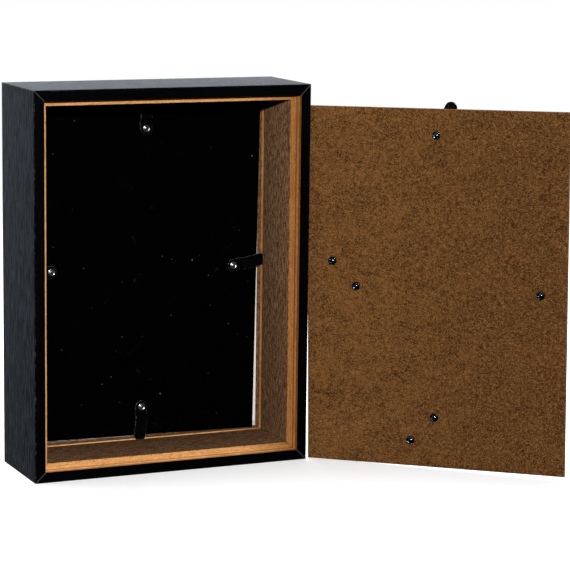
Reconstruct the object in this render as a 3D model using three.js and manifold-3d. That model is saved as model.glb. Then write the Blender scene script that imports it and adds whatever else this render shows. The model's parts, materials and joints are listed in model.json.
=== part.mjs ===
// A deep picture box for keepsakes, seen from its open rear. Millimetres, +Z up.
// The origin is the middle of the underside; the open rear faces -Y and the glazed front faces +Y.
// Inside, a black panel is held behind the glass by four turn buttons whose tips enter a saw groove.
// The rear board is loose: it stands on edge beside the box, its raw inner side turned to the rear.
import * as THREE from 'three';
import { mergeVertices } from 'three/addons/utils/BufferGeometryUtils.js';
import Module from 'manifold-3d';

const wasm = await Module();
wasm.setup();

// ---------------------------------------------------------------- driving dimensions
// the mitred rails
const caseWidth = 204;
const caseHeight = 270;
const caseDepth = 71.2;
const wallThick = 11.5;
const rearLip = 7.4; // black rim left round the rear opening
const rebateDepth = 9; // from the rear face in to the ledge
const frontLipOverlap = 4; // how far the front lip stands in over the glass
const frontLipThick = 4.2;
const grooveWidth = 3.6; // both saw grooves
const grooveDepth = 5;
const edgeRadius = 0.7; // wrapped outer edges
const mitreGap = 0.2; // hairline between two mitred ends

// the stack behind the front lip
const seatGap = 0.05; // between sheets that lie on each other
const glassThick = 2;
const glassClear = 0.5; // each side
const insertThick = 0.4;
const insertClear = 0.7; // each side
const tailSpace = 0.65; // room for the rivet tails between the insert and the panel
const panelThick = 2;
const panelClearX = 2.2; // each side, with the panel square
const panelClearZ = 1.7;
const cornerClear = 0.3; // what is left at its corners once it has slipped round
const panelToGroove = 2.6; // from the panel's rear face back to the groove's front side

// turn buttons, all cut from one strip
const plateThick = 0.8;
const plateGap = 0.1; // under the plate and under the rivet's head
const buttonHalfWidth = 4.4;
const innerHoldX = 2.9; // of a side button's tip in its groove, with the panel centred
const innerHoldZ = 1.2; // the same at the top and the bottom
const innerTipRadius = 3;
const bendStart = 5; // where the step begins, from the pivot
const bendRun = 2.3;
const tipClear = 0.35; // between the tip and the groove's front side
const rearPast = 7.3; // from the board's edge out to the tip of a flat button, pointing straight

// rivets
const shankRadius = 1.5;
const holeRadius = 1.7;
const headRadius = 2.9;
const headHeight = 1.25;
const panelTailRadius = 2.6;
const panelTailHeight = 0.45;
const boardTailRadius = 3.3;
const boardTailHeight = 1.2;

// where the rivets stand, in from the edge of their sheet
const panelRivetInset = 18.7; // at the sides
const boardRivetInset = 18.5;
const hangerInset = 36;
const hangerSidestep = 17.3; // two buttons stand this far off centre, clear of the hangers

// the loose rear board
const boardThick = 2.7;
const boardClear = 0.35; // each side, in the rebate
const boardHeading = -43.35; // degrees about +Z, of its lower edge
const boardTilt = 0.9; // degrees in its own plane, leaning on the box
const boardLeanGap = 0.3; // left between its upper corner and the box
const boardSetback = 3.8; // of its standing corner, in from the rear face

// hangers
const strapHalfWidth = 4;
const strapThick = 0.6;
const eyeRadius = 1.1; // inside the strap's fold
const eyeReach = 7.5; // from the rivet to the middle of the fold
const foldAngle = 35; // degrees, the slope of the upper leg
const wireRadius = 0.8;
const ringHalfWidth = 8;
const ringReach = 14;
const ringCorner = 1.6;
const ringSplit = 0.5; // where the wire's ends meet, inside the fold

// pointing angles in degrees, clockwise from straight up, seen from the open rear of the box
const innerAngles = { top: -5, right: 79, bottom: 186, left: -95 };
// the same for the loose board's buttons, seen on its raw side
const rearAngles = { top: 26.5, right: 188, bottom: -88, left: 12 };

const roundSides = 16;
const arcSteps = 4;

// ---------------------------------------------------------------- places worked out from them
const openingWidth = caseWidth - 2 * wallThick;
const openingHeight = caseHeight - 2 * wallThick;
const glassFront = caseDepth - frontLipThick - seatGap;
const insertFront = glassFront - glassThick - seatGap;
const panelRear = insertFront - insertThick - tailSpace - panelThick;
const innerGroove = [panelRear - panelToGroove - grooveWidth, panelRear - panelToGroove];
const rearGroove = [rebateDepth - boardThick - grooveWidth, rebateDepth - boardThick];
const panelWidth = openingWidth - 2 * panelClearX;
const panelHeight = openingHeight - 2 * panelClearZ;
const panelTurn = Math.min(
  2 * (panelClearX - cornerClear) / panelHeight, 2 * (panelClearZ - cornerClear) / panelWidth);
const panelDrop = openingHeight / 2 - cornerClear
  - (panelHeight * Math.cos(panelTurn) + panelWidth * Math.sin(panelTurn)) / 2;
const innerReach = panelRivetInset + panelClearX + innerHoldX; // from the pivot to the tip
const panelRivetInsetZ = innerReach - panelClearZ - innerHoldZ;
const rearReach = boardRivetInset + rearPast;
const boardWidth = caseWidth - 2 * (rearLip + boardClear);
const boardHeight = caseHeight - 2 * (rearLip + boardClear);
const stepRise = panelToGroove + tipClear - plateGap;
const radians = THREE.MathUtils.degToRad;

// a depth counted from the rear face, as a Y coordinate
const fromRear = (depth) => depth - caseDepth / 2;

// ---------------------------------------------------------------- solids
function solidOf(geometry) {
  const bare = geometry.clone();
  bare.deleteAttribute('normal');
  bare.deleteAttribute('uv');
  const merged = mergeVertices(bare, 1e-4);
  const vertProperties = new Float32Array(merged.attributes.position.array);
  const triVerts = new Uint32Array(merged.index.array);
  return new wasm.Manifold(new wasm.Mesh({ numProp: 3, vertProperties, triVerts }));
}

function geometryOf(solid) {
  const { vertProperties, triVerts } = solid.getMesh();
  const indexed = new THREE.BufferGeometry();
  indexed.setAttribute('position', new THREE.BufferAttribute(new Float32Array(vertProperties), 3));
  indexed.setIndex(new THREE.BufferAttribute(new Uint32Array(triVerts), 1));
  const flat = indexed.toNonIndexed();
  flat.computeVertexNormals();
  return flat;
}

// Local frames of everything that lies on a sheet: X and Z run in the sheet and heights go to -Y.
// An outline in X and Z, raised from one height to another.
function raised(shape, low, high) {
  const geometry = new THREE.ExtrudeGeometry(shape, {
    depth: high - low, bevelEnabled: false, curveSegments: arcSteps,
  });
  const axes = new THREE.Matrix4().makeBasis(
    new THREE.Vector3(1, 0, 0), new THREE.Vector3(0, 0, 1), new THREE.Vector3(0, -1, 0));
  return geometry.applyMatrix4(axes).translate(0, -low, 0);
}

// A section in Z and height, carried across X.
function across(shape, halfWidth) {
  const geometry = new THREE.ExtrudeGeometry(shape, { depth: 2 * halfWidth, bevelEnabled: false });
  const axes = new THREE.Matrix4().makeBasis(
    new THREE.Vector3(0, 0, 1), new THREE.Vector3(0, -1, 0), new THREE.Vector3(1, 0, 0));
  return geometry.applyMatrix4(axes).translate(-halfWidth, 0, 0);
}

function rectangle(width, height) {
  const shape = new THREE.Shape();
  shape.moveTo(-width / 2, -height / 2);
  shape.lineTo(width / 2, -height / 2);
  shape.lineTo(width / 2, height / 2);
  shape.lineTo(-width / 2, height / 2);
  shape.closePath();
  return shape;
}

// A sheet with its rear face at height 0, pierced for its rivets.
function sheet(width, height, thick, holes = []) {
  const shape = rectangle(width, height);
  for (const [x, z] of holes) {
    shape.holes.push(new THREE.Path().absarc(x, z, holeRadius, 0, 2 * Math.PI, true));
  }
  return raised(shape, -thick, 0);
}

// A plate's outline: round about its pivot, straight sides, and a tip with rounded corners.
function plateOutline(halfWidth, reach, tipRadius) {
  const shape = new THREE.Shape();
  shape.moveTo(-halfWidth, 0);
  shape.absarc(0, 0, halfWidth, Math.PI, 2 * Math.PI, false);
  shape.absarc(halfWidth - tipRadius, reach - tipRadius, tipRadius, 0, Math.PI / 2, false);
  shape.absarc(tipRadius - halfWidth, reach - tipRadius, tipRadius, Math.PI / 2, Math.PI, false);
  shape.closePath();
  return shape;
}

// The closed section of a bent strip: its middle line moved out to each side by half a thickness.
function stripSection(middle, thick) {
  const sides = [[], []];
  middle.forEach((point, i) => {
    const before = middle[Math.max(i - 1, 0)];
    const after = middle[Math.min(i + 1, middle.length - 1)];
    const into = (i ? point.clone().sub(before) : after.clone().sub(point)).normalize();
    const out = (i < middle.length - 1 ? after.clone().sub(point) : into.clone()).normalize();
    const normal = new THREE.Vector2(-into.y - out.y, into.x + out.x).normalize();
    const stretch = thick / 2 / Math.max(normal.x * -into.y + normal.y * into.x, 0.5);
    sides[0].push(point.clone().addScaledVector(normal, -stretch));
    sides[1].push(point.clone().addScaledVector(normal, stretch));
  });
  return new THREE.Shape([...sides[0], ...sides[1].reverse()]);
}

// A strip bent along a middle line, cut to an outline and pierced at its pivot.
function cutStrip(middle, thick, outline, halfWidth) {
  const slabTop = 20; // above any fold
  const strip = solidOf(across(stripSection(middle, thick), halfWidth + 1));
  const blank = solidOf(raised(outline, -1, slabTop));
  const drill = new THREE.Shape().absarc(0, 0, holeRadius, 0, 2 * Math.PI, false);
  const hole = solidOf(raised(drill, -1, slabTop));
  return geometryOf(strip.intersect(blank).subtract(hole));
}

// A rivet about a sheet: a domed head above what it holds, and a tail behind the sheet.
function rivet(stack, sheetThick, tailRadius, tailHeight) {
  const head = stack + plateGap;
  const tail = -sheetThick - seatGap;
  const profile = [new THREE.Vector2(0, tail - tailHeight)];
  for (let i = 1; i <= arcSteps; i += 1) {
    const turn = (i / arcSteps) * (Math.PI / 2);
    profile.push(new THREE.Vector2(tailRadius * Math.sin(turn), tail - tailHeight * Math.cos(turn)));
  }
  profile.push(new THREE.Vector2(shankRadius, tail));
  profile.push(new THREE.Vector2(shankRadius, head));
  for (let i = arcSteps; i >= 1; i -= 1) {
    const turn = (i / arcSteps) * (Math.PI / 2);
    profile.push(new THREE.Vector2(headRadius * Math.sin(turn), head + headHeight * Math.cos(turn)));
  }
  profile.push(new THREE.Vector2(0, head + headHeight));
  return new THREE.LatheGeometry(profile, roundSides).rotateZ(Math.PI);
}

// The rail's section: distance in from the outer face, and depth from the rear.
function railSection() {
  const lipStart = caseDepth - frontLipThick;
  const inner = wallThick + frontLipOverlap;
  const shape = new THREE.Shape();
  const corner = edgeRadius;
  shape.moveTo(corner, 0);
  shape.lineTo(rearLip, 0);
  shape.lineTo(rearLip, rearGroove[0]);
  shape.lineTo(rearLip - grooveDepth, rearGroove[0]);
  shape.lineTo(rearLip - grooveDepth, rearGroove[1]);
  shape.lineTo(rearLip, rearGroove[1]);
  shape.lineTo(rearLip, rebateDepth);
  shape.lineTo(wallThick, rebateDepth);
  shape.lineTo(wallThick, innerGroove[0]);
  shape.lineTo(wallThick - grooveDepth, innerGroove[0]);
  shape.lineTo(wallThick - grooveDepth, innerGroove[1]);
  shape.lineTo(wallThick, innerGroove[1]);
  shape.lineTo(wallThick, lipStart);
  shape.lineTo(inner, lipStart);
  shape.absarc(inner - corner, caseDepth - corner, corner, 0, Math.PI / 2, false);
  shape.absarc(corner, caseDepth - corner, corner, Math.PI / 2, Math.PI, false);
  shape.absarc(corner, corner, corner, Math.PI, 1.5 * Math.PI, false);
  return shape;
}

// A rail along X, its outer face at Z = 0 and its inside towards +Z, mitred at both ends.
function rail(length) {
  const geometry = new THREE.ExtrudeGeometry(railSection(), {
    depth: 1, bevelEnabled: false, curveSegments: 3,
  });
  const place = geometry.attributes.position;
  for (let i = 0; i < place.count; i += 1) {
    const inward = place.getX(i);
    const depth = place.getY(i);
    const side = place.getZ(i) > 0.5 ? -1 : 1;
    const end = length / 2 - inward - mitreGap / Math.SQRT2;
    place.setXYZ(i, side * end, fromRear(depth), inward);
  }
  geometry.computeVertexNormals();
  return geometry;
}

// The step of an inner button runs from the panel back to the level of the groove.
function bentButton() {
  const low = plateGap + plateThick / 2;
  const middle = [
    new THREE.Vector2(-2 * buttonHalfWidth, low),
    new THREE.Vector2(bendStart, low),
    new THREE.Vector2(bendStart + bendRun, low + stepRise),
    new THREE.Vector2(innerReach + buttonHalfWidth, low + stepRise),
  ];
  const outline = plateOutline(buttonHalfWidth, innerReach, innerTipRadius);
  return cutStrip(middle, plateThick, outline, buttonHalfWidth);
}

function flatButton() {
  const low = plateGap + plateThick / 2;
  const middle = [
    new THREE.Vector2(-2 * buttonHalfWidth, low),
    new THREE.Vector2(rearReach + buttonHalfWidth, low),
  ];
  const outline = plateOutline(buttonHalfWidth, rearReach, buttonHalfWidth);
  return cutStrip(middle, plateThick, outline, buttonHalfWidth);
}

// A strap folded round the ring's wire, its two legs held by one rivet.
const foldMiddle = eyeRadius + strapThick / 2;
const eyeHeight = seatGap + strapThick / 2 + foldMiddle;
const strapStack = seatGap + 2 * strapThick + plateGap;

function strap() {
  const low = seatGap + strapThick / 2;
  const high = low + strapThick + plateGap;
  const slope = radians(foldAngle);
  const middle = [new THREE.Vector2(-2 * strapHalfWidth, low)];
  for (let i = 0; i <= 2 * arcSteps; i += 1) {
    const turn = -Math.PI / 2 + (i / (2 * arcSteps)) * (Math.PI + slope);
    middle.push(new THREE.Vector2(
      eyeReach + foldMiddle * Math.cos(turn), eyeHeight + foldMiddle * Math.sin(turn)));
  }
  const last = middle[middle.length - 1];
  middle.push(new THREE.Vector2(last.x - (last.y - high) / Math.tan(slope), high));
  middle.push(new THREE.Vector2(-2 * strapHalfWidth, high));
  const outline = plateOutline(strapHalfWidth, eyeReach + 2 * foldMiddle, 1);
  return cutStrip(middle, strapThick, outline, strapHalfWidth);
}

// The hanger's ring: round wire bent to a triangle, its straight side lying in the strap's fold.
function ring() {
  const at = (x, z) => new THREE.Vector3(x, 0, z);
  const foot = at(ringHalfWidth, 0);
  const apex = at(0, ringReach);
  const up = apex.clone().sub(foot).normalize();
  const from = (point, way, by) => point.clone().addScaledVector(way, by);
  const mirror = (point) => at(-point.x, point.z);
  const riseStart = from(foot, up, ringCorner);
  const riseEnd = from(apex, up, -2 * ringCorner);
  const sideEnd = at(ringHalfWidth - ringCorner, 0);
  const path = new THREE.CurvePath();
  path.add(new THREE.LineCurve3(at(ringSplit / 2, 0), sideEnd));
  path.add(new THREE.QuadraticBezierCurve3(sideEnd, foot, riseStart));
  path.add(new THREE.LineCurve3(riseStart, riseEnd));
  path.add(new THREE.QuadraticBezierCurve3(riseEnd, apex, mirror(riseEnd)));
  path.add(new THREE.LineCurve3(mirror(riseEnd), mirror(riseStart)));
  path.add(new THREE.QuadraticBezierCurve3(mirror(riseStart), mirror(foot), mirror(sideEnd)));
  path.add(new THREE.LineCurve3(mirror(sideEnd), at(-ringSplit / 2, 0)));
  const section = new THREE.Shape().absarc(0, 0, wireRadius, 0, 2 * Math.PI, false);
  return new THREE.ExtrudeGeometry(section, {
    steps: 48, curveSegments: 4, bevelEnabled: false, extrudePath: path,
  });
}

// ---------------------------------------------------------------- finishes
const finish = {
  foil: { color: 0x16181b, roughness: 0.5, metalness: 0 },
  glass: { color: 0xdfe8e6, roughness: 0.05, metalness: 0, transparent: true, opacity: 0.35 },
  paper: { color: 0xe9e6e0, roughness: 0.9, metalness: 0 },
  blackBoard: { color: 0x08080a, roughness: 0.4, metalness: 0 },
  rawBoard: { color: 0x6e4623, roughness: 0.85, metalness: 0 },
  blackSteel: { color: 0x101114, roughness: 0.4, metalness: 0.8 },
  brightSteel: { color: 0xb9bcc0, roughness: 0.3, metalness: 1 },
};

function part(name, geometry, look) {
  const mesh = new THREE.Mesh(geometry, new THREE.MeshStandardMaterial(finish[look]));
  mesh.name = name;
  return mesh;
}

// A group at a place, turned clockwise as seen from where its heights point.
function spot(x, z, degrees) {
  const group = new THREE.Group();
  group.position.set(x, 0, z);
  group.rotation.y = radians(degrees);
  return group;
}

// ---------------------------------------------------------------- the box
function caseRails() {
  const group = new THREE.Group();
  const sides = [
    ['bottom_rail', 0, caseWidth, 0, 0],
    ['left_rail', 90, caseHeight, -caseWidth / 2, caseHeight / 2],
    ['top_rail', 180, caseWidth, 0, caseHeight],
    ['right_rail', -90, caseHeight, caseWidth / 2, caseHeight / 2],
  ];
  for (const [name, degrees, length, x, z] of sides) {
    const place = spot(x, z, degrees);
    place.add(part(name, rail(length), 'foil'));
    group.add(place);
  }
  return group;
}

function frontSheets() {
  const group = new THREE.Group();
  const glass = part('front_glass', sheet(
    openingWidth - 2 * glassClear, openingHeight - 2 * glassClear, glassThick), 'glass');
  glass.position.set(0, fromRear(glassFront - glassThick), caseHeight / 2);
  const insert = part('insert_sheet', sheet(
    openingWidth - 2 * insertClear, openingHeight - 2 * insertClear, insertThick), 'paper');
  insert.position.set(0, fromRear(insertFront - insertThick), caseHeight / 2);
  group.add(glass, insert);
  return group;
}

function innerPanel() {
  const group = new THREE.Group();
  group.position.set(0, fromRear(panelRear), caseHeight / 2 - panelDrop);
  group.rotation.y = panelTurn;
  const spotX = panelWidth / 2 - panelRivetInset;
  const spotZ = panelHeight / 2 - panelRivetInsetZ;
  const places = { top: [0, spotZ], right: [spotX, 0], bottom: [0, -spotZ], left: [-spotX, 0] };
  const pierced = sheet(panelWidth, panelHeight, panelThick, Object.values(places));
  group.add(part('inner_panel', pierced, 'blackBoard'));
  for (const [side, [x, z]] of Object.entries(places)) {
    const place = spot(x, z, innerAngles[side] - THREE.MathUtils.radToDeg(panelTurn));
    place.add(part(`inner_button_${side}`, bentButton(), 'blackSteel'));
    const stack = plateGap + plateThick;
    place.add(part(`inner_rivet_${side}`,
      rivet(stack, panelThick, panelTailRadius, panelTailHeight), 'brightSteel'));
    group.add(place);
  }
  return group;
}

// ---------------------------------------------------------------- the loose rear board
function hanger(name, x, z, degrees) {
  const place = spot(x, z, degrees);
  place.add(part(`hanger_strap_${name}`, strap(), 'brightSteel'));
  place.add(part(`hanger_rivet_${name}`,
    rivet(strapStack, boardThick, boardTailRadius, boardTailHeight), 'blackSteel'));
  const wire = part(`hanger_ring_${name}`, ring(), 'brightSteel');
  wire.position.set(0, -eyeHeight, eyeReach);
  place.add(wire);
  return place;
}

function looseBoard() {
  const stand = new THREE.Group();
  const heading = radians(boardHeading);
  const tilt = radians(boardTilt);
  const lean = boardHeight * Math.sin(tilt) * Math.cos(heading);
  stand.position.set(caseWidth / 2 + boardLeanGap + lean, fromRear(boardSetback), 0);
  stand.rotation.z = heading;
  const tilted = new THREE.Group();
  tilted.rotation.y = -tilt;
  stand.add(tilted);
  // the outer side, seen from behind, so that X runs the other way
  const outer = new THREE.Group();
  outer.position.set(boardWidth / 2, boardThick, boardHeight / 2);
  outer.rotation.z = Math.PI;
  tilted.add(outer);
  const spotX = boardWidth / 2 - boardRivetInset;
  const spotZ = boardHeight / 2 - boardRivetInset;
  const buttons = {
    top: [0, spotZ], right: [-spotX, 0], bottom: [hangerSidestep, -spotZ], left: [spotX, hangerSidestep],
  };
  const hangers = {
    foot: [0, hangerInset - boardHeight / 2, 180],
    side: [boardWidth / 2 - hangerInset, 0, 90],
  };
  const holes = [...Object.values(buttons), ...Object.values(hangers)];
  outer.add(part('back_board', sheet(boardWidth, boardHeight, boardThick, holes), 'rawBoard'));
  for (const [side, [x, z]] of Object.entries(buttons)) {
    const place = spot(x, z, -rearAngles[side]);
    place.add(part(`back_button_${side}`, flatButton(), 'blackSteel'));
    const stack = plateGap + plateThick;
    place.add(part(`back_rivet_${side}`,
      rivet(stack, boardThick, boardTailRadius, boardTailHeight), 'blackSteel'));
    outer.add(place);
  }
  for (const [name, [x, z, degrees]] of Object.entries(hangers)) {
    outer.add(hanger(name, x, z, degrees));
  }
  return stand;
}

const group = new THREE.Group();
group.add(caseRails(), frontSheets(), innerPanel(), looseBoard());

export default group;
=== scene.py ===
"""Looks for a deep keepsake box seen from its open rear, with its loose rear board beside it.

Four mitred rails of fibreboard wrapped in black wood-grain foil hold, from the front, a glass pane, a
white insert sheet and a black inner panel. Bent turn buttons on the panel reach into a saw groove, and
flat turn buttons sit on the outer side of the loose board together with two hangers.

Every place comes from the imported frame: the boxes and vertices of its nodes and the axes of its joints.
Lengths are metres; a value written in millimetres is multiplied by MM.
"""

from __future__ import annotations

import json
import logging
import math
from dataclasses import dataclass
from enum import Enum
from typing import Any, Sequence, Union

import bmesh
import bpy
import numpy as np
from mathutils import Matrix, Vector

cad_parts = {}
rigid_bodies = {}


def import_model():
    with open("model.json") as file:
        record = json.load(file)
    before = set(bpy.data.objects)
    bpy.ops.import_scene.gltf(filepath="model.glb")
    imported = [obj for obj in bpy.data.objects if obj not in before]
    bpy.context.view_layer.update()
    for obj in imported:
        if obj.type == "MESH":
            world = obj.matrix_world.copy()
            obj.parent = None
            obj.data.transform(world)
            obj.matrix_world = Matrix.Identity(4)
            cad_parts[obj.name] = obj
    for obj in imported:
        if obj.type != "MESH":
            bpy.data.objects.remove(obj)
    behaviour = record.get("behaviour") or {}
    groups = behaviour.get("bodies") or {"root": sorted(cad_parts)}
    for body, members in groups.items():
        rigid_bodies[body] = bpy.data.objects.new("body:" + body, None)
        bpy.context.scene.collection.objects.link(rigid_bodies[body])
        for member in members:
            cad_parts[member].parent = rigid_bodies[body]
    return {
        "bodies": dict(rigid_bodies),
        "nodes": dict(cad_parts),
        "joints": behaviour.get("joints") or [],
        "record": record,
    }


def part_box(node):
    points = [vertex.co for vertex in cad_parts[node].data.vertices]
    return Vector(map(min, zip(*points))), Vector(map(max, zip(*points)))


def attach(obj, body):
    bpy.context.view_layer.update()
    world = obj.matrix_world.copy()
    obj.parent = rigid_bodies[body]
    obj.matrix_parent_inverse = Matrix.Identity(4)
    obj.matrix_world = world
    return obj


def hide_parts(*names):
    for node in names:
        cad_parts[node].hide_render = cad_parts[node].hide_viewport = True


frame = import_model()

MM = 0.001
WELD = 2e-6  # points closer than this are one
FINE_STEP = 0.05 * MM  # between the points of a bent strip's middle line
FAR_SHARE = 0.8  # corners beyond this share of a button's reach are its tip
PANEL_THICK = 2.0 * MM
BOARD_THICK = 2.7 * MM
FLAT_TAIL = 2.6 * MM  # radius of a closed rivet tail
PETAL_TAIL = 3.3 * MM  # radius of a split rivet tail
INNER_TIP = 3.0 * MM  # corner radius at an inner button's tip
HOLE_SQUARE = 1.8  # half the square that a hole stands in, in radii of the hole
LAY = "Lay"  # the UV map that follows each surface, in metres
log = logging.getLogger("keepsake_box")


class Slot(str, Enum):
    """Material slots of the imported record."""

    FOIL = "black_foil"
    RAW = "raw_board"
    PANEL = "black_board"
    GLASS = "glass"
    PAPER = "white_paper"
    BLACK = "black_steel"
    BRIGHT = "bright_steel"


class Side(str, Enum):
    """Sides of the box and of its sheets, seen from the open rear."""

    TOP = "top"
    RIGHT = "right"
    BOTTOM = "bottom"
    LEFT = "left"


class Tail(Enum):
    """How the far end of a rivet is closed."""

    FLAT = "flat"
    PETALS = "petals"


# ------------------------------------------------------------------------------------------- places
def unit(vector: np.ndarray) -> np.ndarray:
    """The vector divided by its own length."""
    return vector / np.linalg.norm(vector, axis=-1, keepdims=True)


def run_length(line: np.ndarray) -> np.ndarray:
    """The length of a line from its start to each of its points."""
    step = np.linalg.norm(np.diff(line, axis=0), axis=1)
    return np.concatenate([[0], np.cumsum(step)])


def looped(loop: np.ndarray) -> np.ndarray:
    """The loop with its first point again at its end."""
    return np.concatenate([loop, loop[:1]])


@dataclass(frozen=True)
class Seat:
    """A place with its own axes, in which a piece is worked out.

    Attributes:
        origin: the place in the row frame.
        axes: three rows, the directions across, along and out of the sheet.
    """

    origin: np.ndarray
    axes: np.ndarray

    @staticmethod
    def on(origin: np.ndarray, along: np.ndarray, out: np.ndarray) -> "Seat":
        """A seat from a point, the way it points and the way out; across is along crossed with out."""
        flat = unit(along - out * (along @ out))
        return Seat(np.array(origin, float), np.stack([np.cross(flat, out), flat, out]))

    def place(self, points: np.ndarray) -> np.ndarray:
        """Local points taken to the row frame: origin plus each coordinate times its axis."""
        return self.origin + points @ self.axes

    def local(self, points: np.ndarray) -> np.ndarray:
        """Points of the row frame in this seat's coordinates."""
        return (points - self.origin) @ self.axes.T


class PackedFrame:
    """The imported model, asked for places only."""

    def __init__(self, packed: dict[str, Any]) -> None:
        """Keeps the nodes and the joints by name.
        """
        self.nodes = packed["nodes"]
        self.joints = {joint["name"]: joint for joint in packed["joints"]}

    def points(self, node: str) -> np.ndarray:
        """The different corners of a node, in the row frame."""
        mesh = self.nodes[node].data
        flat = np.zeros(len(mesh.vertices) * 3, np.float32)
        mesh.vertices.foreach_get("co", flat)
        return np.unique(flat.reshape(-1, 3).round(6), axis=0).astype(float)

    def pivot(self, joint: str) -> np.ndarray:
        """Where a joint turns."""
        return np.array(self.joints[joint]["pos_m"], float)

    def axis(self, joint: str) -> np.ndarray:
        """The direction that a joint turns about."""
        return unit(np.array(self.joints[joint]["axis"], float))

    def middle(self, node: str) -> np.ndarray:
        """The middle of a node's box."""
        low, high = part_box(node)
        return (np.array(low) + np.array(high)) / 2

    def extent(self, node: str, seat: Seat) -> tuple[np.ndarray, np.ndarray]:
        """Lowest and highest coordinates of a node in a seat's axes."""
        local = seat.local(self.points(node))
        return local.min(axis=0), local.max(axis=0)

    def button_seat(self, node: str, out: np.ndarray) -> Seat:
        """The seat of a turn button: its pivot, and the way that its tip points.

        Args:
            node: the button's node, whose joint has the same name with _turn.
            out: the way out of the sheet that it lies on.

        Returns:
            A seat on the sheet. The plate is the same on both sides of its long middle line, so its
            corners on the pivot's side and beyond average to a point on that line.
        """
        pivot = self.pivot(f"{node}_turn")
        points = self.points(node)
        far = np.linalg.norm(points - pivot, axis=1)
        tip = points[far > FAR_SHARE * far.max()].mean(axis=0)
        return Seat.on(pivot, tip - pivot, out)


# ------------------------------------------------------------------------------------------ surfaces
def softened(outline: np.ndarray, radii: np.ndarray, steps: int, closed: bool = True) -> tuple:
    """Rounds the corners of an outline.

    Each corner P becomes the quadratic curve from A to B, where A and B stand back from P along its two
    sides by radius / tan(half the corner's angle): (1-t)^2 A + 2t(1-t) P + t^2 B.

    Args:
        outline: corners in order, shape (n, 2).
        radii: one radius for each corner; 0 keeps it sharp.
        steps: pieces of each curve.
        closed: whether the last corner joins the first. The two end points of an open line stay.

    Returns:
        The points, shape (n * (steps + 1), 2), and for each stretch after a point whether it is on a
        curve.
    """
    radii = np.broadcast_to(np.asarray(radii, float), (len(outline),)).copy()
    if not closed:
        radii[[0, -1]] = 0
    back = unit(np.roll(outline, 1, axis=0) - outline)
    ahead = unit(np.roll(outline, -1, axis=0) - outline)
    half = np.arccos(np.clip((back * ahead).sum(axis=1), -1, 1)) / 2
    set_back = (radii / np.tan(np.maximum(half, 0.05)))[:, None]
    start, end = outline + back * set_back, outline + ahead * set_back
    t = np.linspace(0, 1, steps + 1)[None, :, None]
    curve = (1 - t) ** 2 * start[:, None] + 2 * t * (1 - t) * outline[:, None] + t**2 * end[:, None]
    on_curve = np.zeros((len(outline), steps + 1), bool)
    on_curve[:, :steps] = radii[:, None] > 0
    points, on_curve = curve.reshape(-1, 2), on_curve.ravel()
    follow = np.roll(points, -1, axis=0)
    keep = np.linalg.norm(follow - points, axis=1) > 1e-9
    if not closed:
        keep[-1] = True
    return points[keep], on_curve[keep]


def measured(line: np.ndarray, spacing: float) -> np.ndarray:
    """Points at even steps along a line, each found by its length from the start."""
    run = run_length(line)
    at = np.linspace(0, run[-1], max(2, int(math.ceil(run[-1] / spacing)) + 1))
    return np.stack([np.interp(at, run, line[:, k]) for k in range(line.shape[1])], axis=1)


class Bend:
    """A sheet-metal line in along and height, with a flat strip laid on it by its length."""

    def __init__(self, line: np.ndarray) -> None:
        """Measures the line.

        Args:
            line: points of the strip's middle line, shape (n, 2), along and height.
        """
        self.line = measured(line, FINE_STEP)
        self.run = run_length(self.line)
        self.way = unit(np.gradient(self.line, axis=0))
        self.length = float(self.run[-1])

    def lay(self, flat: np.ndarray) -> np.ndarray:
        """Takes flat points (across, along, height) to the bent strip.

        The place is the line's point at that length, plus the height along the line's normal, which is
        its direction turned a quarter: (-way height, way along).
        """
        at = flat[..., 1]
        beyond = np.minimum(at, 0)
        y, z = (np.interp(at, self.run, self.line[:, k]) for k in (0, 1))
        wy, wz = (np.interp(at, self.run, self.way[:, k]) for k in (0, 1))
        scale = np.hypot(wy, wz)
        height = flat[..., 2]
        y = y + beyond - height * wz / scale
        z = z + height * wy / scale
        past = np.maximum(at - self.length, 0)
        return np.stack([flat[..., 0], y + past * self.way[-1, 0], z + past * self.way[-1, 1]], axis=-1)


def quads(rows: int, columns: int) -> np.ndarray:
    """The corner numbers of every quad in a grid of points, shape (rows - 1, columns - 1, 4)."""
    index = np.arange(rows * columns).reshape(rows, columns)
    return np.stack([index[:-1, :-1], index[:-1, 1:], index[1:, 1:], index[1:, :-1]], axis=-1)


def rolled_edge(arris: float, top: float, bottom: float) -> tuple[np.ndarray, np.ndarray]:
    """How far out a softened edge stands, and how high, from the upper face to the lower one.

    At each face it makes a quarter turn: out by arris times sine, while its height changes by arris
    times one less cosine.
    """
    turn = np.linspace(0, math.pi / 2, 4)
    out, drop = arris * np.sin(turn), arris * (1 - np.cos(turn))
    return np.concatenate([out, out[::-1]]), np.concatenate([top - drop, (bottom + drop)[::-1]])


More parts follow.
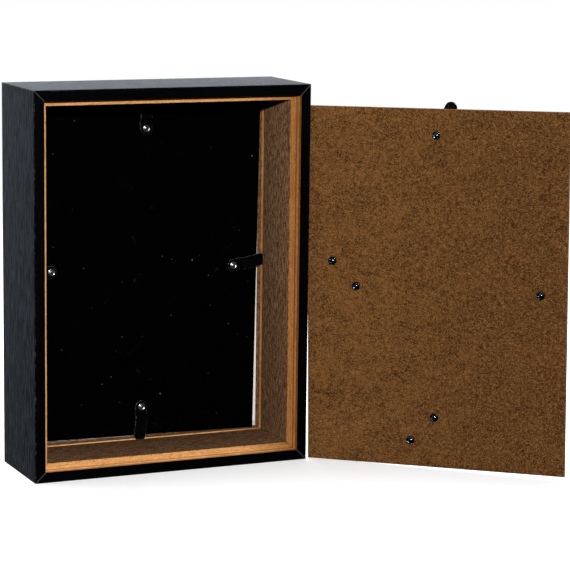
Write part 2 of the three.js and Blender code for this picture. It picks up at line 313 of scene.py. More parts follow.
class Surface:
    """Gathers grids of points and outlines into one closed mesh, with a UV map and marks on its faces."""

    def __init__(self) -> None:
        """Starts empty."""
        self.points: list[np.ndarray] = []
        self.corners: list[np.ndarray] = []
        self.sizes: list[np.ndarray] = []
        self.lay: list[np.ndarray] = []
        self.marks: list[dict[str, np.ndarray]] = []
        self.count = 0

    def faces(self, points: np.ndarray, faces: np.ndarray, lay: np.ndarray, marks: dict) -> None:
        """Keeps points and the faces between them, all with the same number of corners."""
        self.corners.append((faces + self.count).ravel())
        self.sizes.append(np.full(len(faces), faces.shape[1]))
        self.lay.append(lay[faces.ravel()])
        self.marks.append({k: np.repeat(np.broadcast_to(v, len(faces)), faces.shape[1])
                           for k, v in marks.items()})
        self.points.append(points)
        self.count += len(points)

    def grid(self, points: np.ndarray, lay: np.ndarray, **marks: np.ndarray) -> None:
        """Adds a grid of quads.

        Args:
            points: shape (rows, columns, 3).
            lay: the UV place of every point, shape (rows, columns, 2).
            **marks: a value for each quad by name, broadcast to shape (rows - 1, columns - 1).
        """
        rows, columns = points.shape[:2]
        spread = {k: np.broadcast_to(v, (rows - 1, columns - 1)).ravel() for k, v in marks.items()}
        self.faces(points.reshape(-1, 3), quads(rows, columns).reshape(-1, 4), lay.reshape(-1, 2), spread)

    def outline(self, points: np.ndarray, lay: np.ndarray, **marks: float) -> None:
        """Adds one flat face inside a closed outline."""
        self.faces(points, np.arange(len(points))[None, :], lay, marks)

    def made(self, name: str, sharp: float = 32.0) -> bpy.types.Object:
        """Builds the object: welds seams and poles, turns faces outwards and checks that it is closed.

        Args:
            name: the piece's name.
            sharp: edges that turn by more than this many degrees stay crisp.

        Returns:
            The new object, linked to the scene at the origin.
        """
        mesh = bpy.data.meshes.new(name)
        points = np.concatenate(self.points).astype(np.float32)
        corners, sizes = np.concatenate(self.corners), np.concatenate(self.sizes)
        mesh.vertices.add(len(points))
        mesh.vertices.foreach_set("co", points.ravel())
        mesh.loops.add(len(corners))
        mesh.loops.foreach_set("vertex_index", corners.astype(np.int32))
        mesh.polygons.add(len(sizes))
        starts = np.concatenate([[0], np.cumsum(sizes)[:-1]])
        mesh.polygons.foreach_set("loop_start", starts.astype(np.int32))
        mesh.uv_layers.new(name=LAY).data.foreach_set(
            "uv", np.concatenate(self.lay).astype(np.float32).ravel())
        for mark in sorted({key for marks in self.marks for key in marks}):
            blank = [np.zeros(int(s.sum())) for s in self.sizes]
            values = np.concatenate([m.get(mark, b) for m, b in zip(self.marks, blank)])
            mesh.attributes.new(mark, "FLOAT", "CORNER").data.foreach_set(
                "value", values.astype(np.float32))
        mesh.update(calc_edges=True)
        shell = bmesh.new()
        shell.from_mesh(mesh)
        bmesh.ops.remove_doubles(shell, verts=shell.verts, dist=WELD)
        bmesh.ops.recalc_face_normals(shell, faces=shell.faces)
        open_edges = sum(not edge.is_manifold for edge in shell.edges)
        shell.to_mesh(mesh)
        shell.free()
        mesh.shade_smooth()
        mesh.set_sharp_from_angle(angle=math.radians(sharp))
        piece = bpy.data.objects.new(name, mesh)
        bpy.context.scene.collection.objects.link(piece)
        if open_edges:
            log.warning("%s has %d open edges", name, open_edges)
        return piece


def stacked(loop: np.ndarray, heights: np.ndarray) -> np.ndarray:
    """Loops of (across, along) with one height each, as a grid of points."""
    level = np.broadcast_to(np.asarray(heights, float)[:, None, None], loop.shape[:2] + (1,))
    return np.concatenate([loop, level], axis=-1)


# -------------------------------------------------------------------------------------- shader maths
Value = Union["Wire", float, Sequence[float]]


@dataclass(frozen=True)
class Wire:
    """An output socket. Python's arithmetic on it adds Math nodes."""

    nodes: "Nodes"
    socket: bpy.types.NodeSocket

    def __add__(self, other: Value) -> "Wire":
        """Sum."""
        return self.nodes.math("ADD", self, other)

    def __sub__(self, other: Value) -> "Wire":
        """Difference."""
        return self.nodes.math("SUBTRACT", self, other)

    def __mul__(self, other: Value) -> "Wire":
        """Product."""
        return self.nodes.math("MULTIPLY", self, other)

    def __rsub__(self, other: Value) -> "Wire":
        """Difference from a number."""
        return self.nodes.math("SUBTRACT", other, self)

    __radd__ = __add__
    __rmul__ = __mul__

    def larger(self, other: Value) -> "Wire":
        """The larger of the two."""
        return self.nodes.math("MAXIMUM", self, other)

    def rise(self, low: float, high: float, least: float = 0.0, most: float = 1.0) -> "Wire":
        """Least below low and most above high, smooth between; the other way round if low > high."""
        return self.nodes.add("ShaderNodeMapRange", {"interpolation_type": "SMOOTHSTEP"},
                              {"Value": self, "From Min": low, "From Max": high,
                               "To Min": least, "To Max": most})


class Nodes:
    """A node tree, grown one output at a time."""

    def __init__(self, tree: bpy.types.NodeTree) -> None:
        """Keeps the tree."""
        self.tree = tree

    def add(self, kind: str, settings: dict[str, Any], values: dict[Any, Value],
            output: Union[int, str] = 0) -> Wire:
        """Adds any node.

        Args:
            kind: the node's type.
            settings: its own settings, set first.
            values: a number, colour or wire for each socket, by name or place.
            output: which output is wanted.

        Returns:
            That output.
        """
        node = self.tree.nodes.new(kind)
        for key, value in settings.items():
            setattr(node, key, value)
        for key, value in values.items():
            self.feed(node.inputs[key], value)
        return Wire(self, node.outputs[output])

    def feed(self, socket: bpy.types.NodeSocket, value: Value) -> None:
        """Links a wire to a socket, or sets its value."""
        if isinstance(value, Wire):
            self.tree.links.new(value.socket, socket)
        elif socket.type == "RGBA":
            socket.default_value = (*value, 1)
        else:
            socket.default_value = value

    def math(self, operation: str, *terms: Value) -> Wire:
        """One Math node."""
        return self.add("ShaderNodeMath", {"operation": operation}, dict(enumerate(terms)))

    def part(self, vector: Wire, axis: str) -> Wire:
        """One coordinate of a vector."""
        return self.add("ShaderNodeSeparateXYZ", {}, {"Vector": vector}, axis)


class Shader(Nodes):
    """One material's node tree and its Principled shader."""

    def __init__(self, name: str, **fixed: Any) -> None:
        """Makes the material.

        Args:
            name: the material's name.
            **fixed: values that are the same all over, by socket name with _ for a space.
        """
        self.material = bpy.data.materials.new(name)
        self.material.use_nodes = True
        super().__init__(self.material.node_tree)
        self.surface = self.tree.nodes["Principled BSDF"]
        for key, value in fixed.items():
            self.surface.inputs[key.replace("_", " ")].default_value = value

    def mix(self, first: Value, second: Value, share: Value) -> Wire:
        """Two colours mixed, from the first at share 0 to the second at share 1."""
        settings = {"data_type": "RGBA", "blend_type": "MIX", "clamp_factor": True}
        return self.add("ShaderNodeMix", settings, {0: share, 6: first, 7: second}, 2)

    def place(self) -> Wire:
        """The point in the piece's own coordinates, in metres."""
        return self.add("ShaderNodeTexCoord", {}, {}, "Object")

    def lay(self) -> Wire:
        """The place on the piece's surface, in metres."""
        return self.add("ShaderNodeUVMap", {"uv_map": LAY}, {})

    def mark(self, name: str) -> Wire:
        """A mark on the faces."""
        return self.add("ShaderNodeAttribute", {"attribute_name": name}, {}, "Fac")

    def stretched(self, place: Wire, sizes: Sequence[float], turn: float = 0.0,
                  shift: Sequence[float] = (0.0, 0.0, 0.0)) -> Wire:
        """Coordinates turned about the third axis, then counted in cells of these sizes, in metres."""
        inner = self.add("ShaderNodeMapping", {"vector_type": "POINT"},
                         {"Vector": place, "Rotation": (0, 0, turn), "Location": shift})
        scale = tuple(1 / size for size in sizes)
        return self.add("ShaderNodeMapping", {"vector_type": "POINT"}, {"Vector": inner, "Scale": scale})

    def noise(self, place: Wire, detail: float = 2.0, rough: float = 0.5, swirl: float = 0.0) -> Wire:
        """Soft noise with cells one unit wide."""
        return self.add("ShaderNodeTexNoise", {}, {"Vector": place, "Scale": 1.0, "Detail": detail,
                                                   "Roughness": rough, "Distortion": swirl})

    def cells(self, place: Wire, output: str = "Distance") -> Wire:
        """Distance to the nearest of the points strewn one to a unit cell, or that cell's colour."""
        return self.add("ShaderNodeTexVoronoi", {"feature": "F1"},
                        {"Vector": place, "Scale": 1.0, "Randomness": 1.0}, output)

    def cell_value(self, place: Wire) -> Wire:
        """A number from 0 to 1 that is the same all over one cell."""
        return self.add("ShaderNodeSeparateColor", {}, {"Color": self.cells(place, "Color")})

    def relief(self, height: Wire, depth: float) -> Wire:
        """A bumped normal: height 0 to 1 stands for depth in metres."""
        return self.add("ShaderNodeBump", {}, {"Height": height, "Distance": depth, "Strength": 1.0})

    def paint(self, **wires: Value) -> bpy.types.Material:
        """Feeds the shader's sockets, by name with _ for a space, and returns the material."""
        for key, value in wires.items():
            self.feed(self.surface.inputs[key.replace("_", " ")], value)
        return self.material


Colour = tuple[float, float, float]


@dataclass(frozen=True)
class GrainFoil:
    """Black foil with printed and pressed wood grain, worn to grey-brown at folds and mitres."""

    dark: Colour = (0.0003, 0.0004, 0.0006)
    light: Colour = (0.0010, 0.0012, 0.0017)
    # slate of the grain's figure, which also paints sheen: it goes on every face but the rear one
    figure_and_sheen: Colour = (0.030, 0.036, 0.047)
    worn: Colour = (0.16, 0.15, 0.135)
    pore_length: float = 9 * MM
    pore_width: float = 0.42 * MM
    relief: float = 0.20 * MM

    def made(self) -> bpy.types.Material:
        """Long thin noise cells along the rail make pores; wider ones make the figure between them."""
        s = Shader("grain_foil", IOR=1.10)
        lay = s.lay()
        drift = s.noise(s.stretched(lay, (70 * MM, 9 * MM, 1)), 3.0, 0.55)
        figure = s.noise(s.stretched(lay, (34 * MM, 1.7 * MM, 1)), 3.0, 0.6, 0.35)
        pores = s.noise(s.stretched(lay, (self.pore_length, self.pore_width, 1)), 2.0, 0.6)
        short = s.noise(s.stretched(lay, (3.2 * MM, 0.30 * MM, 1)), 1.0, 0.5)
        stroke = s.noise(s.stretched(lay, (12 * MM, 2.5 * MM, 1)), 3.0, 0.65, 0.2)
        open_pore = (pores * 0.62 + short * 0.38).rise(0.47, 0.36)
        tone = (figure * 0.55 + drift * 0.45).rise(0.30, 0.72)
        colour = s.mix(self.dark, self.light, tone * 0.8 + short * 0.25)
        # Painted sheen: the slate figure goes on every face but the rear one (mark outer), so the sides
        # and top read lighter than the rear.
        shown = (stroke * 0.6 + figure * 0.4).rise(0.42, 0.60) * (drift * 0.8 + 0.5)
        colour = s.mix(colour, self.figure_and_sheen, shown * s.mark("outer"))
        colour = s.mix(colour, self.dark, open_pore * 0.85)
        rub = s.noise(s.stretched(lay, (2.6 * MM, 0.8 * MM, 1)), 4.0, 0.65)
        scuff = s.mark("fold") * rub.rise(0.54, 0.70) * 0.55
        seam = s.mark("mitre") * (rub * 0.7 + 0.15)
        colour = s.mix(colour, self.worn, scuff.larger(seam))
        height = (stroke.rise(0.30, 0.70) * 0.5 + figure.rise(0.3, 0.7) * 0.25
                  - open_pore * 0.12 + short * 0.05)
        return s.paint(Base_Color=colour, Roughness=0.33 + open_pore * 0.25 + scuff * 0.3 + drift * 0.1,
                       Normal=s.relief(height, self.relief))


@dataclass(frozen=True)
class RailCore:
    """Fibreboard of the rails: dark smooth skin on the inner walls, pale where a cutter has been."""

    skin_dark: Colour = (0.070, 0.030, 0.013)
    skin_light: Colour = (0.43, 0.235, 0.120)
    cut_light: Colour = (0.78, 0.42, 0.160)
    cut_dark: Colour = (0.42, 0.165, 0.045)
    # shaded copies of the two cut tones, painted on cut faces towards the right of the box
    shaded_cut_light: Colour = (0.37, 0.150, 0.040)
    shaded_cut_dark: Colour = (0.175, 0.058, 0.011)

    def made(self) -> bpy.types.Material:
        """Fibres are noise cells drawn out along the rail; the mark cut chooses between the two tones."""
        s = Shader("rail_core", IOR=1.12)
        lay = s.lay()
        fibre = s.noise(s.stretched(lay, (5.5 * MM, 1.3 * MM, 1)), 3.0, 0.62, 0.4)
        cross = s.noise(s.stretched(lay, (1.3 * MM, 1.2 * MM, 1), 0.5), 3.0, 0.6)
        patch = s.noise(s.stretched(lay, (26 * MM, 7 * MM, 1)), 3.0, 0.55)
        speck = s.cells(s.stretched(lay, (2.3 * MM, 1.5 * MM, 1))).rise(0.20, 0.08)
        streak = s.noise(s.stretched(lay, (60 * MM, 0.5 * MM, 1)), 2.0, 0.5)
        skin = s.mix(self.skin_dark, self.skin_light, (fibre * 0.6 + cross * 0.4).rise(0.41, 0.60))
        skin = s.mix(skin, self.skin_dark, (patch.rise(0.5, 0.7) * 0.4).larger(speck * 0.6))
        # Painted shade: the inner walls darken towards the bottom of the box.
        low = s.part(s.place(), "Z").rise(0.20, 0.01)
        skin = s.mix(skin, self.skin_dark, low * 0.35)
        # Painted shade: cut faces towards the right take the darker, shaded copies of the cut tones.
        painted_side_shade = s.part(s.place(), "X").rise(0.05, 0.10)
        pale = s.mix(self.cut_light, self.shaded_cut_light, painted_side_shade)
        deep = s.mix(self.cut_dark, self.shaded_cut_dark, painted_side_shade)
        sawn = s.mix(deep, pale, (fibre * 0.35 + cross * 0.35 + streak * 0.3).rise(0.34, 0.62))
        sawn = s.mix(sawn, deep, (patch.rise(0.50, 0.72) * 0.5).larger(speck * 0.45))
        colour = s.mix(skin, sawn, s.mark("cut"))
        frayed = s.mark("fold") * cross.rise(0.40, 0.62)
        colour = s.mix(colour, pale, frayed * 0.7)
        height = fibre * 0.5 + cross * 0.35 + streak * s.mark("cut") * 0.4 - speck * 0.5
        return s.paint(Base_Color=colour, Roughness=0.62 + cross * 0.3,
                       Normal=s.relief(height, 0.09 * MM))


@dataclass(frozen=True)
class RawBoard:
    """Thin hard fibreboard: a felt of short fibres in all directions, with dark specks."""

    dark: Colour = (0.030, 0.0095, 0.0018)
    # this and the next are a shaded and a lit copy of one brown, blended by painted light across the loose
    # board
    middle: Colour = (0.105, 0.040, 0.0098)
    lit_brown: Colour = (0.172, 0.070, 0.0185)
    light: Colour = (0.30, 0.150, 0.052)
    pale: Colour = (0.40, 0.22, 0.09)
    fibre_turns: tuple[float, ...] = (0.35, 1.25, 2.1, 2.8)

    def made(self) -> bpy.types.Material:
        """Four sets of stretched cells, each turned another way, lie over a mottle of soft noise."""
        s = Shader("raw_board", IOR=1.12)
        lay = s.lay()
        mottle = s.noise(s.stretched(lay, (4.4 * MM, 3.8 * MM, 1)), 4.0, 0.62, 0.3)
        grain = s.noise(s.stretched(lay, (1.15 * MM, 1.0 * MM, 1)), 3.0, 0.65)
        cloud = s.noise(s.stretched(lay, (22 * MM, 17 * MM, 1)), 4.0, 0.6, 0.5)
        # Painted light: the loose board is lighter at its left edge and darker towards its right.
        painted_left_light = s.part(s.place(), "X").rise(0.225, 0.115)
        felt: Union[Wire, None] = None
        for count, turn in enumerate(self.fibre_turns):
            place = s.stretched(lay, (3.2 * MM, 0.75 * MM, 1), turn, (0.13 * count, 0.07 * count, 0))
            strand = s.noise(place, 1.0, 0.5).rise(0.55, 0.74)
            felt = strand if felt is None else felt.larger(strand)
        tone = (mottle * 0.30 + grain * 0.52 + cloud * 0.18).rise(0.395, 0.59)
        colour = s.mix(self.dark, s.mix(self.middle, self.lit_brown, painted_left_light), tone)
        colour = s.mix(colour, self.light, felt * (grain * 0.5 + 0.28))
        wide = s.cells(s.stretched(lay, (5.2 * MM, 5.2 * MM, 1)))
        thin = s.cells(s.stretched(lay, (1.9 * MM, 1.4 * MM, 1), 0.8, (0.2, 0.4, 0)))
        speck = wide.rise(0.115, 0.06).larger(thin.rise(0.28, 0.12) * 0.7)
        colour = s.mix(colour, self.dark, speck * 0.85)
        frayed = s.mark("fold") * grain.rise(0.36, 0.6)
        colour = s.mix(colour, self.pale, frayed * 0.55)
        sawn = s.mark("cut")
        colour = s.mix(colour, self.dark, sawn * 0.55)
        height = mottle * 0.3 + grain * 0.3 + felt * 0.35 - speck * 0.6
        return s.paint(Base_Color=colour, Roughness=0.66 + grain * 0.25,
                       Normal=s.relief(height, 0.10 * MM))


@dataclass(frozen=True)
class PanelBlack:
    """Smooth black coating with a little dust and a few hairline scratches.

    Attributes:
        name: the material's name.
        black: colour of the coating.
        haze: colour of its handled, paler patches.
        index: its refractive index.
        dust: colour of motes, flakes and scratches.
        worn: colour where the coat has chipped off an edge.
    """

    name: str
    black: Colour = (0.0004, 0.0004, 0.0005)
    haze: Colour = (0.0004, 0.0004, 0.0005)
    index: float = 1.06
    dust: Colour = (0.26, 0.26, 0.27)
    worn: Colour = (0.12, 0.06, 0.03)

    def made(self) -> bpy.types.Material:
        """Dust is the heart of a few widely strewn cells; a scratch is the crest of a long thin noise."""
        s = Shader(self.name, IOR=self.index)
        lay = s.lay()
        peel = s.noise(s.stretched(lay, (1.6 * MM, 1.6 * MM, 1)), 3.0, 0.55)
        haze = s.noise(s.stretched(lay, (48 * MM, 36 * MM, 1)), 4.0, 0.6)
        fine_place = s.stretched(lay, (7.5 * MM, 7.5 * MM, 1))
        chance = s.cell_value(fine_place)
        mote = s.cells(fine_place).rise(0.075, 0.035) * chance.rise(0.72, 0.78)
        wide_place = s.stretched(lay, (17 * MM, 17 * MM, 1), 0.4)
        flake = s.cells(wide_place).rise(0.042, 0.02) * s.cell_value(wide_place).rise(0.5, 0.6)
        scratch: Union[Wire, None] = None
        for turn, shift in ((0.7, 0.0), (2.3, 0.21)):
            place = s.stretched(lay, (45 * MM, 2.4 * MM, 1), turn, (shift, shift, 0))
            line = s.noise(place, 0.0, 0.5)
            crest = s.math("ABSOLUTE", line - 0.5).rise(0.006, 0.0)
            patchy = s.noise(s.stretched(lay, (22 * MM, 22 * MM, 1), turn)).rise(0.60, 0.68)
            mark = crest * patchy
            scratch = mark if scratch is None else scratch.larger(mark)
        plain = s.mix(self.black, self.haze, (haze * 0.5 + peel * 0.5).rise(0.4, 0.62))
        colour = s.mix(plain, self.dust, (mote * 0.22).larger(flake * 0.55).larger(scratch * 0.06))
        chipped = s.mark("fold") * peel.rise(0.58, 0.7)
        colour = s.mix(colour, self.worn, chipped * 0.7)
        rough = 0.30 + haze * 0.12 + mote * 0.4 + flake * 0.4
        height = peel * 0.35 + mote * 0.8 + flake - scratch * 0.3
        return s.paint(Base_Color=colour, Roughness=rough, Normal=s.relief(height, 0.03 * MM))


@dataclass(frozen=True)
class ClearGlass:
    """Float glass with a faint haze of handling."""

    tint: Colour = (0.93, 0.97, 0.955)

    def made(self) -> bpy.types.Material:
        """Roughness rises a little in soft smears."""
        s = Shader("clear_glass", IOR=1.52, Transmission_Weight=1.0)
        smear = s.noise(s.stretched(s.lay(), (60 * MM, 18 * MM, 1), 0.6), 4.0, 0.6, 0.6)
        edge = s.mark("fold")
        colour = s.mix(self.tint, (0.45, 0.72, 0.62), edge * 0.8)
        return s.paint(Base_Color=colour, Roughness=0.015 + smear.rise(0.55, 0.75) * 0.05 + edge * 0.25)


@dataclass(frozen=True)
class InsertPaper:
    """White uncoated paper with a soft fibre look."""

    white: Colour = (0.80, 0.775, 0.745)
    shade: Colour = (0.68, 0.65, 0.61)
    # colour of the painted shade in the gap below the inner panel
    dust: Colour = (0.035, 0.026, 0.02)

    def made(self) -> bpy.types.Material:
        """Clouded noise for the pulp, short cells for the fibres."""
        s = Shader("insert_paper", IOR=1.4)
        lay = s.lay()
        pulp = s.noise(s.stretched(lay, (7 * MM, 7 * MM, 1)), 4.0, 0.6)
        fibre = s.noise(s.stretched(lay, (1.6 * MM, 0.25 * MM, 1), 0.9), 2.0, 0.6)
        colour = s.mix(self.white, self.shade, (pulp * 0.5 + fibre * 0.5).rise(0.42, 0.75) * 0.6)
        # Painted shade: the strip below the inner panel darkens, more towards the left, mottled by noise.
        place = s.place()
        low = s.part(place, "Z").rise(0.0175, 0.0150)
        painted_side_shade = s.part(place, "X").rise(0.03, -0.06)
        dust = s.noise(s.stretched(place, (6 * MM, 6 * MM, 0.6 * MM)), 2.0, 0.6).rise(0.35, 0.6)
        colour = s.mix(colour, self.dust, low * (dust * 0.35 + painted_side_shade * 0.6 + 0.1))
        return s.paint(Base_Color=colour, Roughness=0.78 + fibre * 0.15,
                       Normal=s.relief(pulp * 0.4 + fibre * 0.6, 0.03 * MM))


@dataclass(frozen=True)
class Steel:
    """Sheet or wire steel with a plating, brushed along its length and rubbed bright at its edges.

    Attributes:
        name: the material's name.
        plain: colour of the plating.
        rubbed: colour where it is rubbed.
        wear: how much of the edges is rubbed, 0 to 1.
        rough: roughness of the plating.
        metal: metalness of the plating.
        index: refractive index where it is not metal.
    """

    name: str
    plain: Colour
    rubbed: Colour
    wear: float
    rough: float
    metal: float
    index: float = 1.5

    def made(self) -> bpy.types.Material:
        """Fine lines along the strip, soft blotches in the plating and broken bright edges."""
        s = Shader(self.name, IOR=self.index)
        lay = s.lay()
        lines = s.noise(s.stretched(lay, (0.12 * MM, 5 * MM, 1)), 2.0, 0.6)
        blotch = s.noise(s.stretched(lay, (1.5 * MM, 1.9 * MM, 1)), 4.0, 0.62)
        pits = s.cells(s.stretched(lay, (0.9 * MM, 0.9 * MM, 1))).rise(0.16, 0.08)
        broken = (lines * 0.35 + blotch * 0.65).rise(0.47, 0.60)
        rub = s.mark("fold") * broken * self.wear
        scratch = lines.rise(0.64, 0.74) * blotch.rise(0.5, 0.62) * (0.35 * self.wear)
        colour = s.mix(self.plain, self.rubbed, rub.larger(scratch))
        shade = tuple(0.55 * c for c in self.plain)
        colour = s.mix(colour, shade, (pits * 0.6).larger(blotch.rise(0.56, 0.72) * 0.4))
        rough = self.rough + blotch * 0.14 + pits * 0.25 - rub * 0.08
        height = lines * 0.25 + blotch * 0.5 - pits * 0.7
        metal = self.metal + rub * (1.0 - self.metal)
        return s.paint(Base_Color=colour, Metallic=metal, Roughness=rough,
                       Normal=s.relief(height, 0.015 * MM))


class Finishes:
    """Every finish of the box, made once."""

    def __init__(self) -> None:
        """Makes the materials."""
        self.foil = GrainFoil().made()
        self.core = RailCore().made()
        self.raw = RawBoard().made()
        self.panel = PanelBlack("panel_black").made()
        self.rear_coat = PanelBlack("rear_coat", black=(0.0055, 0.0055, 0.0062),
                                    haze=(0.017, 0.017, 0.018), index=1.3).made()
        self.glass = ClearGlass().made()
        self.paper = InsertPaper().made()
        self.blackened = Steel("blackened_steel", (0.0006, 0.0006, 0.0008), (0.30, 0.30, 0.31),
                               0.8, 0.34, 0.02, 1.12).made()
        self.worn_black = Steel("worn_black_steel", (0.0016, 0.0016, 0.0019), (0.40, 0.40, 0.41),
                                1.0, 0.30, 0.02, 1.15).made()
        self.nickel = Steel("nickel_plate", (0.52, 0.52, 0.53), (0.80, 0.80, 0.80), 0.6, 0.17, 1.0).made()
        self.dull_nickel = Steel("dull_nickel", (0.075, 0.084, 0.10), (0.62, 0.63, 0.64),
                                 0.7, 0.11, 1.0).made()


def settle(piece: bpy.types.Object, material: bpy.types.Material, slot: Slot, body: str,
           *nodes: str) -> bpy.types.Object:
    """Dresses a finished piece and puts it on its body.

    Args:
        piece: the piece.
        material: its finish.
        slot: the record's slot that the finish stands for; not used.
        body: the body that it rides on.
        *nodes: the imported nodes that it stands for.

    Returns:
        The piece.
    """
    piece.data.materials.append(material)
    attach(piece, body)
    if nodes:
        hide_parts(*nodes)
    log.info("%-24s %6d faces on %s", piece.name, len(piece.data.polygons), body)
    return piece


# ------------------------------------------------------------------------------------------ the rails
@dataclass(frozen=True)
class RailSection:
    """Section of a rail: distance in from its outer face, and depth from the open rear."""

    wall: float = 11.5 * MM
    rear_lip: float = 7.4 * MM
    rebate: float = 9 * MM
    front_lip: float = 4.2 * MM
    rear_groove: tuple[float, float] = (2.7 * MM, 6.3 * MM)
    inner_groove: tuple[float, float] = (11.95 * MM, 15.55 * MM)  # inwards from the front
    groove_depth: float = 5 * MM
    fold: float = 0.7 * MM
    foil: float = 0.22 * MM
    glue: float = 0.02 * MM
    arris: float = 0.18 * MM
    mitre: float = 0.2 * MM

    def foil_line(self, inset: float, depth: float, inner: float) -> tuple[np.ndarray, np.ndarray]:
        """The open line of the foil, inset from the rail's face.

        Args:
            inset: how far in from the face.
            depth: the rail's whole depth.
            inner: distance from the outer face to the front lip's edge.

        Returns:
            Points and curve flags from the rear lip round to the back of the front lip.
        """
        outline = np.array([
            [self.rear_lip, inset], [inset, inset], [inset, depth - inset],
            [inner - inset, depth - inset], [inner - inset, depth - self.front_lip],
        ])
        return softened(outline, np.full(5, self.fold - inset), 6, closed=False)

    def core_outline(self, depth: float, inner: float) -> tuple[np.ndarray, np.ndarray, np.ndarray]:
        """The closed outline of the fibreboard inside the foil.

        Args:
            depth: the rail's whole depth.
            inner: distance from the outer face to the front lip's edge.

        Returns:
            Points, curve flags, and for each stretch 1 where a cutter has been and 0 on the skin.
        """
        under = self.foil + self.glue
        lip = depth - self.front_lip
        near, far = (depth - d for d in reversed(self.inner_groove))
        start, end = self.rear_groove
        deep_rear, deep_inner = self.rear_lip - self.groove_depth, self.wall - self.groove_depth
        cut, skin = 1.0, 0.0
        corners = [
            (under, under, cut), (self.rear_lip, under, cut), (self.rear_lip, start, cut),
            (deep_rear, start, cut), (deep_rear, end, cut), (self.rear_lip, end, cut),
            (self.rear_lip, self.rebate, cut), (self.wall, self.rebate, skin), (self.wall, near, cut),
            (deep_inner, near, cut), (deep_inner, far, cut), (self.wall, far, skin),
            (self.wall, lip, cut), (inner - under, lip, cut),
            (inner - under, depth - under, cut), (under, depth - under, cut),
        ]
        table = np.array(corners)
        outline = table[:, :2]
        radii = np.full(len(table), self.arris)
        radii[[0, -1, -2]] = self.fold - under
        points, curved = softened(outline, radii, 3)
        owner = np.argmin(np.linalg.norm(points[:, None] - outline[None], axis=-1), axis=1)
        return points, curved, table[owner, 2]


class Rails:
    """The four mitred rails: a fibreboard core inside a wrapped foil."""

    def __init__(self, packed: PackedFrame, section: RailSection) -> None:
        """Reads the box's sizes.

        Args:
            packed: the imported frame.
            section: the rail's section.
        """
        self.section = section
        low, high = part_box("bottom_rail")
        self.inner = high.z - low.z
        self.depth = high.y - low.y
        self.width = high.x - low.x + 2 * section.mitre / math.sqrt(2)
        tall_low, tall_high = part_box("left_rail")
        self.height = tall_high.z - tall_low.z + 2 * section.mitre / math.sqrt(2)
        self.rear = low.y

    def seat(self, side: Side) -> tuple[Seat, float]:
        """Where a rail lies, and its length. Across follows the rail, along runs inwards, out is depth."""
        half = self.height / 2
        places = {
            Side.BOTTOM: ((0, 0, 0), (1, 0, 0), (0, 0, 1), self.width),
            Side.TOP: ((0, 0, self.height), (-1, 0, 0), (0, 0, -1), self.width),
            Side.LEFT: ((-self.width / 2, 0, half), (0, 0, 1), (1, 0, 0), self.height),
            Side.RIGHT: ((self.width / 2, 0, half), (0, 0, -1), (-1, 0, 0), self.height),
        }
        origin, across, along, length = places[side]
        start = np.array([origin[0], self.rear, origin[2]], float)
        return Seat(start, np.array([across, along, (0, 1, 0)], float)), length

    def stations(self, length: float) -> np.ndarray:
        """Shares of the half length, from -1 to 1, every 2 mm, with a narrow band at each mitre."""
        half = length / 2
        band = 0.40 * MM / half
        inner = np.linspace(-1 + band, 1 - band, int(length / (2 * MM)))
        return np.concatenate([[-1], inner, [1]])

    def swept(self, line: np.ndarray, length: float, stations: np.ndarray) -> np.ndarray:
        """Carries a section line along the rail; a point ends at half the length less its distance in."""
        end = length / 2 - line[:, 0] - self.section.mitre / math.sqrt(2)
        across = stations[:, None] * end[None, :]
        spread = np.broadcast_to(line[None], (len(stations), len(line), 2))
        return np.concatenate([across[..., None], spread], axis=-1)

    def lay(self, local: np.ndarray, line: np.ndarray, shift: float) -> np.ndarray:
        """UV in metres: along the rail, and round the section by length."""
        v = np.broadcast_to(run_length(line)[None, :], local.shape[:2])
        return np.stack([local[..., 0] + shift, v + shift * 0.37], axis=-1)

    def foil(self, side: Side, shift: float) -> bpy.types.Object:
        """The foil of one rail: its outer and inner faces are the same line, one foil apart."""
        seat, length = self.seat(side)
        outer, curved = self.section.foil_line(0.0, self.depth, self.inner)
        inner, _ = self.section.foil_line(self.section.foil, self.depth, self.inner)
        stations = self.stations(length)
        ends = np.zeros((len(stations) - 1, 1))
        ends[[0, -1]] = 1
        ends = ends * (1 - 0.75 * (outer[None, :-1, 0] / self.inner) ** 0.7)
        shell = Surface()
        # faces other than the rear one, which take the slate figure as painted sheen
        sheen_faces = (outer[:-1, 1] + outer[1:, 1] > 2 * self.section.fold).astype(float)[None]
        grids = []
        for line in (outer, inner):
            local = self.swept(line, length, stations)
            lay = self.lay(local, line, shift)
            shell.grid(seat.place(local), lay, mitre=ends, fold=curved[None, :-1].astype(float),
                       outer=sheen_faces)
            grids.append((local, lay))
        (out_points, out_lay), (in_points, in_lay) = grids
        for pick in (0, -1):
            shell.grid(seat.place(np.stack([out_points[pick], in_points[pick]])),
                       np.stack([out_lay[pick], in_lay[pick]]), mitre=1.0)
            shell.grid(seat.place(np.stack([out_points[:, pick], in_points[:, pick]])),
                       np.stack([out_lay[:, pick], in_lay[:, pick]]), fold=1.0)
        return shell.made(f"{side.value}_rail_foil")

    def core(self, side: Side, shift: float) -> bpy.types.Object:
        """The fibreboard of one rail."""
        seat, length = self.seat(side)
        line, curved, cut = self.section.core_outline(self.depth, self.inner)
        ring = looped(line)
        stations = self.stations(length)
        local = self.swept(ring, length, stations)
        lay = self.lay(local, ring, shift)
        shell = Surface()
        shell.grid(seat.place(local), lay, cut=cut[None], fold=curved[None].astype(float))
        for pick in (0, -1):
            shell.outline(seat.place(local[pick, :-1]), lay[pick, :-1])
        return shell.made(f"{side.value}_rail_core")

    def build(self, finishes: Finishes) -> None:
        """Makes and dresses all four rails."""
        for count, side in enumerate(Side):
            shift = 0.9 * count
            node = f"{side.value}_rail"
            settle(self.foil(side, shift), finishes.foil, Slot.FOIL, "case", node)
            settle(self.core(side, shift), finishes.core, Slot.RAW, "case", node)


